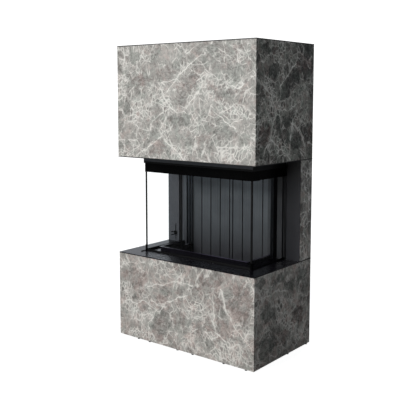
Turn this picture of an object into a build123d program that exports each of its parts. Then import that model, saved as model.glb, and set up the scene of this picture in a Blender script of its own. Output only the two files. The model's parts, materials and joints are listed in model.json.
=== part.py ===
from build123d import *
import os

# A soapstone-clad wood stove: a stone plinth, a narrow stone column and a stone hood round a
# three-sided glazed firebox whose glass lifts straight up into the hood.
# Millimetres. X to the right, Y to the back, Z up. The origin is on the floor, in the middle
# of the footprint.

# Driving dimensions of the outside
stove_w = 1100.0
stove_d = 650.0
column_d = 145.0
stone_t = 30.0
floor_gap = 6.0
plinth_stone_h = 562.0
column_h = 644.0
hood_stone_h = 718.0
base_plate_t = 6.0
hood_plate_t = 5.0
top_plate_t = 5.0

# Driving dimensions of the lifting glass door
door_side_inset = 114.0
door_front_inset = 140.0
glass_t = 5.0
door_back_run = 20.0
glass_sink = 8.0
rail_h = 59.0
fascia_h = 46.0
lift_spare = 8.0

# Sheet, tube and running sizes used by many pieces
panel_t = 2.0
sheet_t = 3.0
post_w = 40.0
member_w = 20.0
member_h = 40.0
tube_t = 3.0
weld_gap = 0.2
seat_gap = 0.3
slide_gap = 1.0
shaft_gap = 0.05
overrun = 5.0

# Levels, from the floor up
z_plinth_top = floor_gap + plinth_stone_h
z_base = z_plinth_top + base_plate_t
z_column_top = z_base + column_h
z_hood = z_column_top + hood_plate_t
z_hood_top = z_hood + hood_stone_h
z_top = z_hood_top + top_plate_t
z_fascia = z_column_top - fascia_h
z_rail = z_fascia - rail_h
z_glass = z_base - glass_sink
lift_travel = z_fascia - z_base - lift_spare

# Planes of the outside
x_out = stove_w / 2
x_in = x_out - stone_t
y_front = -stove_d / 2
y_front_in = y_front + stone_t
y_back = stove_d / 2
y_cheek = y_back - column_d

# Planes of the glass, taken at its outer faces
x_glass = x_out - door_side_inset
y_glass = y_front + door_front_inset
x_glass_in = x_glass - glass_t
y_glass_in = y_glass + glass_t
y_glass_back = y_cheek + door_back_run

# Rear panels, with room for their screw heads inside the footprint
screw_head_h = 2.0
screw_head_r = 5.0
screw_shank_r = 2.4
y_panel = y_back - screw_head_h - panel_t
y_panel_out = y_panel + panel_t

# The firebox and the flue, which stands a little behind the middle of the firebox
firebox_inset = 18.0
firebox_depth = 49.0
flue_back = 18.0
flue_r = 90.0
flue_t = 2.0
firebox_half_w = x_glass - firebox_inset
y_firebox_back = y_cheek + firebox_depth
flue_y = (y_glass + y_firebox_back) / 2 + flue_back

# The lifting gear: an upper shaft and lower idlers, with a chain between them at each side
chain_w = 6.0
chain_t = 5.0
sprocket_r = 25.0
shaft_drop = 141.0
idler_lift = 32.0
shaft_z = z_hood_top - shaft_drop
idler_z = z_base + idler_lift

sides = (-1, 1)


def block(x0, x1, y0, y1, z0, z1, mode=Mode.ADD):
    """A rectangular block between two opposite corners."""
    with Locations(((x0 + x1) / 2, (y0 + y1) / 2, (z0 + z1) / 2)):
        Box(abs(x1 - x0), y1 - y0, z1 - z0, mode=mode)


def plan(x0, x1, y0, y1, mode=Mode.ADD):
    """A rectangle in plan between two opposite corners."""
    with Locations(((x0 + x1) / 2, (y0 + y1) / 2)):
        Rectangle(abs(x1 - x0), y1 - y0, mode=mode)


def plan_u(half_x, front_y, wall, back_y):
    """A three-sided strip in plan, open at the back, as thick as wall."""
    plan(-half_x, half_x, front_y, back_y)
    plan(-half_x + wall, half_x - wall, front_y + wall, back_y, Mode.SUBTRACT)


def hollow(width, depth, wall):
    """The section of a rectangular tube."""
    Rectangle(width, depth)
    Rectangle(width - 2 * wall, depth - 2 * wall, mode=Mode.SUBTRACT)


os.makedirs("parts", exist_ok=True)


def save(part, name):
    """Name a finished piece and write it."""
    part.label = name
    export_step(part, "parts/" + name + ".step")


# Small round glides under the stone edges, where the photograph shows them
glide_r = 8.0
glide_inset = 9.0
front_glide_shares = (0.89, 0.59, 0.147, -0.08, -0.52, -0.7)
side_glide_shares = (0.2, 0.9)
glide_places = [(share * x_out, y_front + glide_inset) for share in front_glide_shares]
for side in sides:
    glide_places += [(side * (x_out - glide_inset), share * y_back) for share in side_glide_shares]
with BuildPart() as edge_glides:
    with BuildSketch(Plane.XY):
        with Locations(*glide_places):
            Circle(glide_r)
    extrude(amount=floor_gap)
save(edge_glides.part, "edge_glides")

# Adjustable feet under the steel frame: pad, threaded stem and lock nut in one
foot_h = 30.0
foot_pad_inset = 2.0
foot_pad_r = post_w / 2 - foot_pad_inset
foot_pad_h = 8.0
foot_stem_r = 6.0
foot_nut_r = 10.0
foot_nut_h = 6.0
post_x = x_in - post_w / 2
post_y_front = y_front_in + post_w / 2
post_y_back = y_panel - post_w / 2
corner_posts = [(side * post_x, y) for side in sides for y in (post_y_front, post_y_back)]
centre_posts = [(0, post_y_front), (0, post_y_back)]
with BuildPart() as levelling_feet:
    with BuildSketch(Plane.XY):
        with Locations(*corner_posts, *centre_posts):
            Circle(foot_pad_r)
    extrude(amount=foot_pad_h)
    with BuildSketch(Plane.XY.offset(foot_pad_h)):
        with Locations(*corner_posts, *centre_posts):
            Circle(foot_stem_r)
    extrude(amount=foot_h - foot_pad_h)
    with BuildSketch(Plane.XY.offset(foot_h - foot_nut_h)):
        with Locations(*corner_posts, *centre_posts):
            RegularPolygon(foot_nut_r, 6)
    extrude(amount=foot_nut_h)
save(levelling_feet.part, "levelling_feet")

# The hearth tray's underside sets the height of the bearers in the plinth frame
hearth_drop = 97.0
ledge_sink = 2.0
z_ledge = z_base - ledge_sink
z_hearth = z_ledge - hearth_drop
z_tray = z_hearth - sheet_t

# Welded tube frame in the plinth: posts, three rings of rails and two bearers
rail_levels = (foot_h + member_h / 2, z_tray - member_h / 2, z_plinth_top - member_h / 2)
side_levels = (rail_levels[0], rail_levels[2])
member_x = x_in - member_w / 2
member_y_front = y_front_in + member_w / 2
member_y_back = y_panel - member_w / 2
bearer_inset = 270.0
bearer_x = x_in - bearer_inset
frame_half_x = x_in - post_w - weld_gap
side_rail_y0 = y_front_in + post_w + weld_gap
side_rail_len = y_panel - post_w - weld_gap - side_rail_y0
bearer_y0 = y_front_in + member_w + weld_gap
bearer_len = y_panel - member_w - weld_gap - bearer_y0
cross_x = post_w / 2 + weld_gap
end_plate_t = 5.0
with BuildPart() as plinth_frame:
    with BuildSketch(Plane.XY.offset(foot_h)):
        with Locations(*corner_posts, *centre_posts):
            hollow(post_w, post_w, tube_t)
    extrude(amount=z_plinth_top - foot_h)
    with BuildSketch(Plane.XY.offset(foot_h)):
        with Locations(*corner_posts, *centre_posts):
            Rectangle(post_w, post_w)
    extrude(amount=end_plate_t)
    for start in (-frame_half_x, cross_x):
        with BuildSketch(Plane.YZ.offset(start)):
            with Locations(*[(y, z) for y in (member_y_front, member_y_back) for z in rail_levels]):
                hollow(member_w, member_h, tube_t)
        extrude(amount=frame_half_x - cross_x)
    with BuildSketch(Plane.XZ.offset(-side_rail_y0)):
        with Locations(*[(side * member_x, z) for side in sides for z in side_levels]):
            hollow(member_w, member_h, tube_t)
    extrude(amount=-side_rail_len)
    with BuildSketch(Plane.XZ.offset(-bearer_y0)):
        with Locations(*[(side * bearer_x, rail_levels[1]) for side in sides]):
            hollow(member_w, member_h, tube_t)
    extrude(amount=-bearer_len)
save(plinth_frame.part, "plinth_frame")

# Stone slabs. The front slabs meet the side slabs in mitres at the two front corners.
arris = 1.0
front_mitre = [(-x_out, y_front), (x_out, y_front), (x_in, y_front_in), (-x_in, y_front_in)]


def side_mitre(side):
    """Plan of a side slab, mitred at its front end."""
    return [
        (side * x_out, y_front), (side * x_out, y_back), (side * x_in, y_back), (side * x_in, y_front_in),
    ]


for level, bottom, height in (
    ("plinth", floor_gap, plinth_stone_h),
    ("hood", z_hood, hood_stone_h),
):
    with BuildPart() as front_stone:
        with BuildSketch(Plane.XY.offset(bottom)):
            Polygon(*front_mitre, align=None)
        extrude(amount=height)
        chamfer(front_stone.faces().sort_by(Axis.Y)[0].edges(), arris)
    save(front_stone.part, level + "_front_stone")
    for side, side_name in zip(sides, ("left", "right")):
        with BuildPart() as side_stone:
            with BuildSketch(Plane.XY.offset(bottom)):
                Polygon(*side_mitre(side), align=None)
            extrude(amount=height)
            outer_face = side_stone.faces().sort_by(Axis.X)[-1 if side > 0 else 0]
            chamfer(outer_face.edges(), arris)
        save(side_stone.part, level + "_" + side_name + "_stone")

cheek_t = 3.0
for side, side_name in zip(sides, ("left", "right")):
    with BuildPart() as column_stone:
        block(side * x_in, side * x_out, y_cheek + cheek_t, y_back, z_base, z_column_top)
        outer_face = column_stone.faces().sort_by(Axis.X)[-1 if side > 0 else 0]
        chamfer(outer_face.edges(), arris)
    save(column_stone.part, "column_" + side_name + "_stone")

# Steel back panels with rows of cooling slots, screwed to the rear posts
slot_len = 90.0
slot_w = 8.0
slot_pitch_x = 120.0
slot_pitch_z = 24.0
slot_columns = 6
slot_rows = 5
screw_rows_share = (0.08, 0.5, 0.92)
spigot_inset = 120.0
spigot_drop = 268.0
spigot_r = 63.0
spigot_t = 2.0
spigot_clear = 1.0
slot_centre_share = 0.75
spigot_x = spigot_inset - x_in
spigot_z = z_plinth_top - spigot_drop
panel_levels = (
    ("plinth_rear_panel", floor_gap, z_plinth_top),
    ("column_rear_panel", z_base, z_column_top),
    ("hood_rear_panel", z_hood, z_hood_top),
)
screw_places = []
for panel_name, bottom, top in panel_levels:
    slots_z = bottom + slot_centre_share * (top - bottom)
    places = [
        (side * post_x, bottom + share * (top - bottom)) for side in sides for share in screw_rows_share
    ]
    screw_places += places
    with BuildPart() as rear_panel:
        with BuildSketch(Plane.XZ.offset(-y_panel)):
            with Locations((0, (bottom + top) / 2)):
                Rectangle(2 * x_in, top - bottom)
            with Locations((0, slots_z)):
                with GridLocations(slot_pitch_x, slot_pitch_z, slot_columns, slot_rows):
                    SlotOverall(slot_len, slot_w, mode=Mode.SUBTRACT)
            with Locations(*places):
                Circle(screw_shank_r + seat_gap, mode=Mode.SUBTRACT)
            if bottom == floor_gap:
                with Locations((spigot_x, spigot_z)):
                    Circle(spigot_r + spigot_t + spigot_clear, mode=Mode.SUBTRACT)
        extrude(amount=-panel_t)
    save(rear_panel.part, panel_name)

# Pan-head screws of the three back panels
socket_r = 2.2
socket_depth = 1.2
with BuildPart() as panel_screws:
    with BuildSketch(Plane.XZ.offset(-y_panel)):
        with Locations(*screw_places):
            Circle(screw_shank_r)
    extrude(amount=-panel_t)
    with BuildSketch(Plane.XZ.offset(-y_panel_out)):
        with Locations(*screw_places):
            Circle(screw_head_r)
    extrude(amount=-screw_head_h)
    with BuildSketch(Plane.XZ.offset(-(y_back - socket_depth))):
        with Locations(*screw_places):
            RegularPolygon(socket_r, 6)
    extrude(amount=-socket_depth, mode=Mode.SUBTRACT)
save(panel_screws.part, "panel_screws")

# Black plate on the plinth, cut out for the hearth and for the air lever's rod
groove_side = 6.0
x_groove = x_glass + groove_side
y_groove = y_glass - groove_side
groove_back_run = 8.0
y_groove_back = y_glass_back + groove_back_run
shell_gap = 2.0
lever_inset = 69.0
rod_r = 4.0
rod_depth = 20.5
rod_gap = 2.0
lever_x = lever_inset - x_out
rod_y = y_cheek + rod_depth
with BuildPart() as base_plate:
    with BuildSketch(Plane.XY.offset(z_plinth_top)):
        plan(-x_out, x_out, y_front, y_back)
        plan(-x_groove, x_groove, y_groove, y_groove_back, Mode.SUBTRACT)
        plan(-firebox_half_w - shell_gap, firebox_half_w + shell_gap,
             y_groove_back, y_firebox_back + shell_gap, Mode.SUBTRACT)
        with Locations((lever_x, rod_y)):
            Circle(rod_r + rod_gap, mode=Mode.SUBTRACT)
    extrude(amount=base_plate_t)
save(base_plate.part, "base_plate")

# Gutter under the groove that the glass sinks into
gutter_w = 17.0
gutter_wall = 2.0
gutter_drop = 15.0
z_gutter = z_plinth_top - gutter_drop
gutter_floor = 3.0
with BuildPart() as door_gutter:
    with BuildSketch(Plane.XY.offset(z_gutter)):
        plan_u(x_groove + gutter_wall, y_groove - gutter_wall, gutter_w + gutter_wall, y_groove_back)
    extrude(amount=gutter_floor)
    with BuildSketch(Plane.XY.offset(z_gutter)):
        plan_u(x_groove + gutter_wall, y_groove - gutter_wall, gutter_wall, y_groove_back)
    extrude(amount=gutter_drop)
save(door_gutter.part, "door_gutter")

# Rope seal in the gutter, which the glass stands on
rope_w = 8.0
rope_round = 2.5
rope_h = z_glass - seat_gap - z_gutter - gutter_floor
x_rope = x_glass + (rope_w - glass_t) / 2
y_rope = y_glass - (rope_w - glass_t) / 2
with BuildPart() as hearth_seal:
    with BuildSketch(Plane.XY.offset(z_gutter + gutter_floor)):
        plan_u(x_rope, y_rope, rope_w, y_groove_back)
    extrude(amount=rope_h)
    fillet(hearth_seal.faces().sort_by(Axis.Z)[-1].edges(), rope_round)
save(hearth_seal.part, "hearth_seal")

# Sunken hearth tray: a ledge inside the glass, sheet that slopes down to the floor, and between them a
# raised rim with a folded lip that keeps the logs in
x_ledge = x_groove - gutter_w
y_ledge = y_groove + gutter_w
ledge_side_w = 70.0
ledge_front_w = 54.0
slope_side_w = 12.0
slope_front_w = 45.0
rim_h = 30.0
lip_w = 10.0
well_half_w = 100.0
well_front_share = 0.18
well_depth_share = 0.43
pocket_half_w = x_ledge - ledge_side_w
pocket_front = y_ledge + ledge_front_w
pocket_floor_half_w = pocket_half_w - slope_side_w
pocket_floor_front = pocket_front + slope_front_w
pocket_back = y_firebox_back - sheet_t
lining_t = 25.0
lining_seat = 1.0
y_lining = pocket_back - lining_seat - lining_t
side_board_run = 68.0
side_board_y0 = y_lining - side_board_run
rim_back = side_board_y0 - seat_gap
floor_depth = pocket_back - pocket_floor_front
well_y0 = pocket_floor_front + well_front_share * floor_depth
well_y1 = well_y0 + well_depth_share * floor_depth
z_skirt = z_gutter + gutter_floor
with BuildPart() as hearth_tray:
    block(-x_ledge, x_ledge, y_ledge, y_cheek, z_ledge - sheet_t, z_ledge)
    with BuildSketch(Plane.XY.offset(z_tray)):
        plan(-pocket_floor_half_w - sheet_t, pocket_floor_half_w + sheet_t,
             pocket_floor_front - sheet_t, y_firebox_back)
    with BuildSketch(Plane.XY.offset(z_ledge)):
        plan(-pocket_half_w - sheet_t, pocket_half_w + sheet_t, pocket_front - sheet_t, y_firebox_back)
    loft(ruled=True)
    with BuildSketch(Plane.XY.offset(z_hearth)):
        plan(-pocket_floor_half_w, pocket_floor_half_w, pocket_floor_front, pocket_back)
    with BuildSketch(Plane.XY.offset(z_ledge)):
        plan(-pocket_half_w, pocket_half_w, pocket_front, pocket_back)
    loft(ruled=True, mode=Mode.SUBTRACT)
    block(-well_half_w, well_half_w, well_y0, well_y1, z_tray - overrun, z_hearth + overrun, Mode.SUBTRACT)
    with BuildSketch(Plane.XY.offset(z_skirt)):
        plan_u(x_ledge, y_ledge, sheet_t, y_cheek)
    extrude(amount=z_ledge - z_skirt)
    with BuildSketch(Plane.XY.offset(z_ledge)):
        plan_u(pocket_half_w + sheet_t, pocket_front - sheet_t, sheet_t, rim_back)
    extrude(amount=rim_h)
    with BuildSketch(Plane.XY.offset(z_ledge + rim_h - sheet_t)):
        plan_u(pocket_half_w + lip_w, pocket_front - lip_w, lip_w, rim_back)
    extrude(amount=sheet_t)
save(hearth_tray.part, "hearth_tray")

# Fire-clay slabs on the hearth floor, round the grate
slab_t = 25.0
grate_edge = 10.0
grate_gap = 2.0
grate_x = well_half_w + grate_edge
grate_y0 = well_y0 - grate_edge
grate_y1 = well_y1 + grate_edge
slab_hole_x = grate_x + grate_gap
slab_edge = 2.0
slab_x = pocket_floor_half_w - slab_edge
slab_y0 = pocket_floor_front + slab_edge
slab_y1 = y_lining - seat_gap
with BuildPart() as hearth_slabs:
    for side in sides:
        block(side * (slab_hole_x + seat_gap), side * slab_x, slab_y0, slab_y1, z_hearth, z_hearth + slab_t)
    block(-slab_hole_x, slab_hole_x, slab_y0, grate_y0 - grate_gap, z_hearth, z_hearth + slab_t)
    block(-slab_hole_x, slab_hole_x, grate_y1 + grate_gap, slab_y1, z_hearth, z_hearth + slab_t)
save(hearth_slabs.part, "hearth_slabs")

# Cast-iron grate over the ash well, a loose piece that lifts out
grate_t = 20.0
bar_slot_w = 8.0
bar_slots = 11
grate_margin = 20.0
bar_pitch = 2 * (grate_x - grate_margin) / (bar_slots - 1)
bar_slot_len = grate_y1 - grate_y0 - 2 * grate_margin
grate_round = 2.0
grate_mid_y = (grate_y0 + grate_y1) / 2
with BuildPart() as grate:
    block(-grate_x, grate_x, grate_y0, grate_y1, z_hearth + seat_gap, z_hearth + grate_t)
    fillet(grate.edges().filter_by(Axis.Z), grate_round)
    with BuildSketch(Plane.XY.offset(z_hearth)):
        with Locations((0, grate_mid_y)):
            with GridLocations(bar_pitch, 0, bar_slots, 1):
                SlotOverall(bar_slot_len, bar_slot_w, rotation=90)
    extrude(amount=grate_t + overrun, mode=Mode.SUBTRACT)
save(grate.part, "grate")

# Ash well under the hearth, with the port that lets combustion air in
well_depth = 172.0
well_room = 18.0
z_well = z_tray - well_depth
well_x = well_half_w + well_room + sheet_t
well_out_y0 = well_y0 - well_room - sheet_t
well_out_y1 = well_y1 + well_room + sheet_t
port_back = 11.0
port_w = 35.0
port_rise = 20.0
port_h = 50.0
port_y1 = well_out_y1 - port_back
port_y0 = port_y1 - port_w
port_z0 = z_well + port_rise
with BuildPart() as ash_well:
    block(-well_x, well_x, well_out_y0, well_out_y1, z_well, z_tray)
    block(-well_x + sheet_t, well_x - sheet_t, well_out_y0 + sheet_t, well_out_y1 - sheet_t,
          z_well + sheet_t, z_tray, Mode.SUBTRACT)
    block(-well_x, -well_x + sheet_t, port_y0, port_y1, port_z0, port_z0 + port_h, Mode.SUBTRACT)
save(ash_well.part, "ash_well")

# Ash pan with a lifting bar, carried out through the grate opening
pan_gap = 4.0
pan_h = 92.0
pan_wall = 2.0
pan_bar_w = 8.0
pan_x = well_half_w - pan_gap
pan_y0 = well_y0 + pan_gap
pan_y1 = well_y1 - pan_gap
z_pan = z_well + sheet_t + seat_gap
with BuildPart() as ash_pan:
    block(-pan_x, pan_x, pan_y0, pan_y1, z_pan, z_pan + pan_h)
    block(-pan_x + pan_wall, pan_x - pan_wall, pan_y0 + pan_wall, pan_y1 - pan_wall,
          z_pan + pan_wall, z_pan + pan_h, Mode.SUBTRACT)
    block(-pan_bar_w / 2, pan_bar_w / 2, pan_y0, pan_y1, z_pan + pan_h - pan_bar_w, z_pan + pan_h)
save(ash_pan.part, "ash_pan")

# Steel shell behind and beside the lining, with the flanges that show beside the glass, a foot that
# carries the side boards of the lining, and a fin outside each of them
flange_w = 37.0
shell_roof = 3.0
shell_roof_w = 58.0
shell_roof_in = firebox_half_w - shell_roof_w
groove_w = 8.0
board_side_room = 85.0
board_x1 = firebox_half_w - board_side_room
side_board_t = 20.0
side_board_x0 = board_x1 + groove_w
side_board_x1 = side_board_x0 + side_board_t
fin_x0 = side_board_x1 + seat_gap
fin_x1 = fin_x0 + sheet_t
fin_inset = 28.0
z_lining_top = z_rail - shell_roof - seat_gap
with BuildPart() as firebox_shell:
    with BuildSketch(Plane.XY.offset(z_ledge)):
        plan(-firebox_half_w, firebox_half_w, y_cheek, y_firebox_back)
        plan(-firebox_half_w + sheet_t, firebox_half_w - sheet_t,
             y_cheek + sheet_t, y_firebox_back - sheet_t, Mode.SUBTRACT)
        plan(-firebox_half_w + flange_w, firebox_half_w - flange_w,
             y_cheek, y_cheek + sheet_t, Mode.SUBTRACT)
    extrude(amount=z_rail - z_ledge)
    for side in sides:
        block(side * side_board_x0, side * firebox_half_w, y_cheek, y_firebox_back, z_ledge, z_ledge + sheet_t)
        block(side * side_board_x0, side * fin_x1, side_board_y0, y_cheek, z_ledge, z_ledge + sheet_t)
        block(side * fin_x0, side * fin_x1, side_board_y0 + fin_inset, y_firebox_back, z_ledge, z_lining_top)
        block(side * shell_roof_in, side * firebox_half_w, y_cheek, y_firebox_back,
              z_rail - shell_roof, z_rail)
save(firebox_shell.part, "firebox_shell")

# Back lining of upright boards: two halves with sunk grooves and a narrow strip between them
groove_deep = 8.0
strip_half_w = 9.0
board_grooves = 3
board_pitch = (board_x1 - strip_half_w) / (board_grooves + 1)
for side, side_name in zip(sides, ("left", "right")):
    with BuildPart() as back_lining:
        block(side * (strip_half_w + groove_w), side * board_x1, y_lining, y_lining + lining_t,
              z_hearth, z_lining_top)
        for number in range(board_grooves):
            groove_x = strip_half_w + (number + 1) * board_pitch
            block(side * groove_x, side * (groove_x + groove_w), y_lining, y_lining + groove_deep,
                  z_hearth, z_lining_top, Mode.SUBTRACT)
    save(back_lining.part, "back_lining_" + side_name)

with BuildPart() as back_lining_centre:
    block(-strip_half_w, strip_half_w, y_lining, y_lining + lining_t, z_hearth, z_lining_top)
save(back_lining_centre.part, "back_lining_centre")

# Fluted side boards of the lining, standing forward of the back boards on the foot of the shell
flute_w = 12.0
flute_deep = 8.0
flute_runs = (5.0, 35.0)
z_side_board = z_ledge + sheet_t
with BuildPart() as corner_linings:
    for side in sides:
        with BuildSketch(Plane.XY.offset(z_side_board)):
            plan(side * side_board_x0, side * side_board_x1, side_board_y0, y_lining + lining_t)
            for run in flute_runs:
                plan(side * side_board_x0, side * (side_board_x0 + flute_deep), side_board_y0 + run,
                     side_board_y0 + run + flute_w, Mode.SUBTRACT)
        extrude(amount=z_lining_top - z_side_board)
save(corner_linings.part, "corner_linings")

# Smoke dome over the fire: a straight skirt, a tapered hood and a ring for the flue pipe
dome_gap = 7.0
rail_depth = 19.0
rail_wall = 2.0
x_rail = x_glass + rail_wall
y_rail = y_glass - rail_wall
x_dome = x_rail - rail_depth - dome_gap
y_dome = y_rail + rail_depth + dome_gap
skirt_h = 77.0
taper_h = 230.0
dome_shoulder_x = 92.0
dome_shoulder_y = 54.0
dome_top_half_x = flue_r + dome_shoulder_x
dome_top_half_y = flue_r + dome_shoulder_y
z_skirt = z_rail + skirt_h
z_dome_top = z_skirt + taper_h
baffle_rise = 30.0
baffle_z = z_rail + baffle_rise
rest_w = 24.0
rest_t = 6.0
baffle_front_gap = 71.0
baffle_y0 = y_dome + baffle_front_gap
baffle_gap = 4.0
y_dome_in = y_firebox_back - sheet_t
with BuildPart() as smoke_dome:
    block(-x_dome, x_dome, y_dome, y_firebox_back, z_rail, z_skirt)
    with BuildSketch(Plane.XY.offset(z_skirt)):
        plan(-x_dome, x_dome, y_dome, y_firebox_back)
    with BuildSketch(Plane.XY.offset(z_dome_top)):
        with Locations((0, flue_y)):
            Rectangle(2 * dome_top_half_x, 2 * dome_top_half_y)
    loft(ruled=True)
    block(-x_dome + sheet_t, x_dome - sheet_t, y_dome + sheet_t, y_dome_in, z_rail, z_skirt, Mode.SUBTRACT)
    with BuildSketch(Plane.XY.offset(z_skirt)):
        plan(-x_dome + sheet_t, x_dome - sheet_t, y_dome + sheet_t, y_dome_in)
    with BuildSketch(Plane.XY.offset(z_dome_top)):
        with Locations((0, flue_y)):
            Rectangle(2 * (dome_top_half_x - sheet_t), 2 * (dome_top_half_y - sheet_t))
    loft(ruled=True, mode=Mode.SUBTRACT)
    block(-dome_top_half_x, dome_top_half_x, flue_y - dome_top_half_y, flue_y + dome_top_half_y,
          z_dome_top, z_dome_top + sheet_t)
    with BuildSketch(Plane.XY.offset(z_dome_top - overrun)):
        with Locations((0, flue_y)):
            Circle(flue_r + flue_t + seat_gap)
    extrude(amount=sheet_t + 2 * overrun, mode=Mode.SUBTRACT)
    for side in sides:
        block(side * (x_dome - sheet_t), side * (x_dome - sheet_t - rest_w), baffle_y0, y_dome_in,
              baffle_z - rest_t, baffle_z)
save(smoke_dome.part, "smoke_dome")

# Loose baffle that turns the smoke forward, lying on the two ledges of the dome
baffle_side = 10.0
baffle_t = 25.0
baffle_x = x_dome - sheet_t - baffle_side
with BuildPart() as baffle_plate:
    block(-baffle_x, baffle_x, baffle_y0, y_dome_in - baffle_gap, baffle_z + seat_gap, baffle_z + baffle_t)
save(baffle_plate.part, "baffle_plate")

# Rope seal between the dome's skirt and the door's top rail
dome_seal_h = 8.0
dome_seal_drop = 14.0
z_dome_seal = z_fascia - dome_seal_drop
dome_seal_w = dome_gap - seat_gap
with BuildPart() as dome_seal:
    with BuildSketch(Plane.XY.offset(z_dome_seal - dome_seal_h)):
        plan_u(x_dome + dome_seal_w, y_dome - dome_seal_w, dome_seal_w, y_cheek)
    extrude(amount=dome_seal_h)
save(dome_seal.part, "dome_seal")

# Flue pipe, from the dome to the top plate, and the collar that centres it there
with BuildPart() as flue_pipe:
    with BuildSketch(Plane.XY.offset(z_dome_top)):
        with Locations((0, flue_y)):
            Circle(flue_r + flue_t)
            Circle(flue_r, mode=Mode.SUBTRACT)
    extrude(amount=z_top - z_dome_top)
save(flue_pipe.part, "flue_pipe")

flue_hole_gap = 8.0
collar_lap = 15.0
collar_t = 5.0
flue_hole_r = flue_r + flue_t + flue_hole_gap
collar_r = flue_hole_r + collar_lap
with BuildPart() as flue_collar:
    with BuildSketch(Plane.XY.offset(z_hood_top - collar_t)):
        with Locations((0, flue_y)):
            Circle(collar_r)
            Circle(flue_r + flue_t + seat_gap, mode=Mode.SUBTRACT)
    extrude(amount=collar_t)
    with BuildSketch(Plane.XY.offset(z_hood_top)):
        with Locations((0, flue_y)):
            Circle(flue_hole_r - seat_gap)
            Circle(flue_r + flue_t + seat_gap, mode=Mode.SUBTRACT)
    extrude(amount=top_plate_t)
save(flue_collar.part, "flue_collar")

# Soapstone rings stacked round the flue pipe, which store its heat
ring_wall = 50.0
ring_half = flue_r + ring_wall
ring_h = 95.0
ring_count = 4
ring_round = 6.0
with BuildPart() as storage_stones:
    for number in range(ring_count):
        with BuildSketch(Plane.XY.offset(z_dome_top + sheet_t + number * (ring_h + weld_gap))):
            with Locations((0, flue_y)):
                RectangleRounded(2 * ring_half, 2 * ring_half, ring_round)
                Circle(flue_r + flue_t + seat_gap, mode=Mode.SUBTRACT)
        extrude(amount=ring_h)
save(storage_stones.part, "storage_stones")

# Rear posts of the column, which carry the hood
with BuildPart() as column_posts:
    with BuildSketch(Plane.XY.offset(z_base)):
        with Locations(*[(side * post_x, post_y_back) for side in sides]):
            hollow(post_w, post_w, tube_t)
    extrude(amount=column_h)
save(column_posts.part, "column_posts")

# Tube frame of the hood: arms, cross members, corner posts, roof beams and dome hangers
arm_h = 60.0
arm_y1 = y_panel - post_w - weld_gap
arm_levels = (z_hood + arm_h / 2, z_hood_top - arm_h / 2)
hood_half_x = x_in - member_w - weld_gap
rear_half_x = x_in - post_w - weld_gap
beam_inset = 6.0
beam_x = dome_top_half_x - beam_inset
beam_h = 30.0
z_beam = z_hood_top - arm_h
hanger_t = 5.0
hanger_w = 30.0
hanger_ys = (flue_y - dome_top_half_y + hanger_w, flue_y + dome_top_half_y - hanger_w)
with BuildPart() as hood_frame:
    with BuildSketch(Plane.XZ.offset(-y_front_in)):
        with Locations(*[(side * member_x, z) for side in sides for z in arm_levels]):
            hollow(member_w, arm_h, tube_t)
    extrude(amount=-(arm_y1 - y_front_in))
    with BuildSketch(Plane.YZ.offset(-hood_half_x)):
        with Locations(*[(member_y_front, z) for z in arm_levels]):
            hollow(member_w, arm_h, tube_t)
    extrude(amount=2 * hood_half_x)
    with BuildSketch(Plane.YZ.offset(-rear_half_x)):
        with Locations(*[(member_y_back, z) for z in arm_levels]):
            hollow(member_w, arm_h, tube_t)
    extrude(amount=2 * rear_half_x)
    with BuildSketch(Plane.XY.offset(z_hood)):
        with Locations(*[(side * post_x, post_y_back) for side in sides]):
            hollow(post_w, post_w, tube_t)
    extrude(amount=hood_stone_h)
    with BuildSketch(Plane.XY.offset(z_hood + arm_h + weld_gap)):
        with Locations(*[(side * member_x, member_y_front) for side in sides]):
            hollow(member_w, member_w, tube_t)
    extrude(amount=hood_stone_h - 2 * arm_h - 2 * weld_gap)
    with BuildSketch(Plane.XZ.offset(-bearer_y0)):
        with Locations(*[(side * beam_x, z_beam + beam_h / 2) for side in sides]):
            hollow(member_w, beam_h, tube_t)
    extrude(amount=-bearer_len)
    with BuildSketch(Plane.XY.offset(z_dome_top + sheet_t)):
        with Locations(*[(side * (beam_x - member_w / 2 + hanger_t), y) for side in sides for y in hanger_ys]):
            Rectangle(hanger_t, hanger_w)
    extrude(amount=z_beam - weld_gap - z_dome_top - sheet_t)
save(hood_frame.part, "hood_frame")

# Dark plate under the hood, cut out for the door, the dome and the lifting gear
fascia_proud = 8.0
fascia_t = 3.0
x_fascia = x_glass + fascia_proud
y_fascia = y_glass - fascia_proud
gear_half_x = x_in - member_w - 2 * slide_gap
with BuildPart() as hood_plate:
    with BuildSketch(Plane.XY.offset(z_column_top)):
        plan(-x_out, x_out, y_front, y_back)
        plan(-x_fascia + fascia_t, x_fascia - fascia_t, y_fascia + fascia_t, y_cheek, Mode.SUBTRACT)
        plan(-gear_half_x, gear_half_x, y_cheek, y_panel - post_w, Mode.SUBTRACT)
    extrude(amount=hood_plate_t)
save(hood_plate.part, "hood_plate")

# Grey fascia that hangs under the hood and hides the door's top rail
with BuildPart() as lintel_fascia:
    with BuildSketch(Plane.XY.offset(z_fascia)):
        plan_u(x_fascia, y_fascia, fascia_t, y_cheek)
    extrude(amount=fascia_h)
save(lintel_fascia.part, "lintel_fascia")

# Black plate on the hood with the flue hole and rows of warm-air slots
top_slot_len = 180.0
top_slot_pitch_x = 220.0
top_slot_pitch_y = 20.0
top_slot_columns = 4
top_slot_rows = 4
top_slot_back = 90.0
top_slot_y = y_back - top_slot_back
with BuildPart() as top_plate:
    with BuildSketch(Plane.XY.offset(z_hood_top)):
        plan(-x_out, x_out, y_front, y_back)
        with Locations((0, flue_y)):
            Circle(flue_hole_r, mode=Mode.SUBTRACT)
        with Locations((0, top_slot_y)):
            with GridLocations(top_slot_pitch_x, top_slot_pitch_y, top_slot_columns, top_slot_rows):
                SlotOverall(top_slot_len, slot_w, mode=Mode.SUBTRACT)
    extrude(amount=top_plate_t)
save(top_plate.part, "top_plate")

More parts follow.
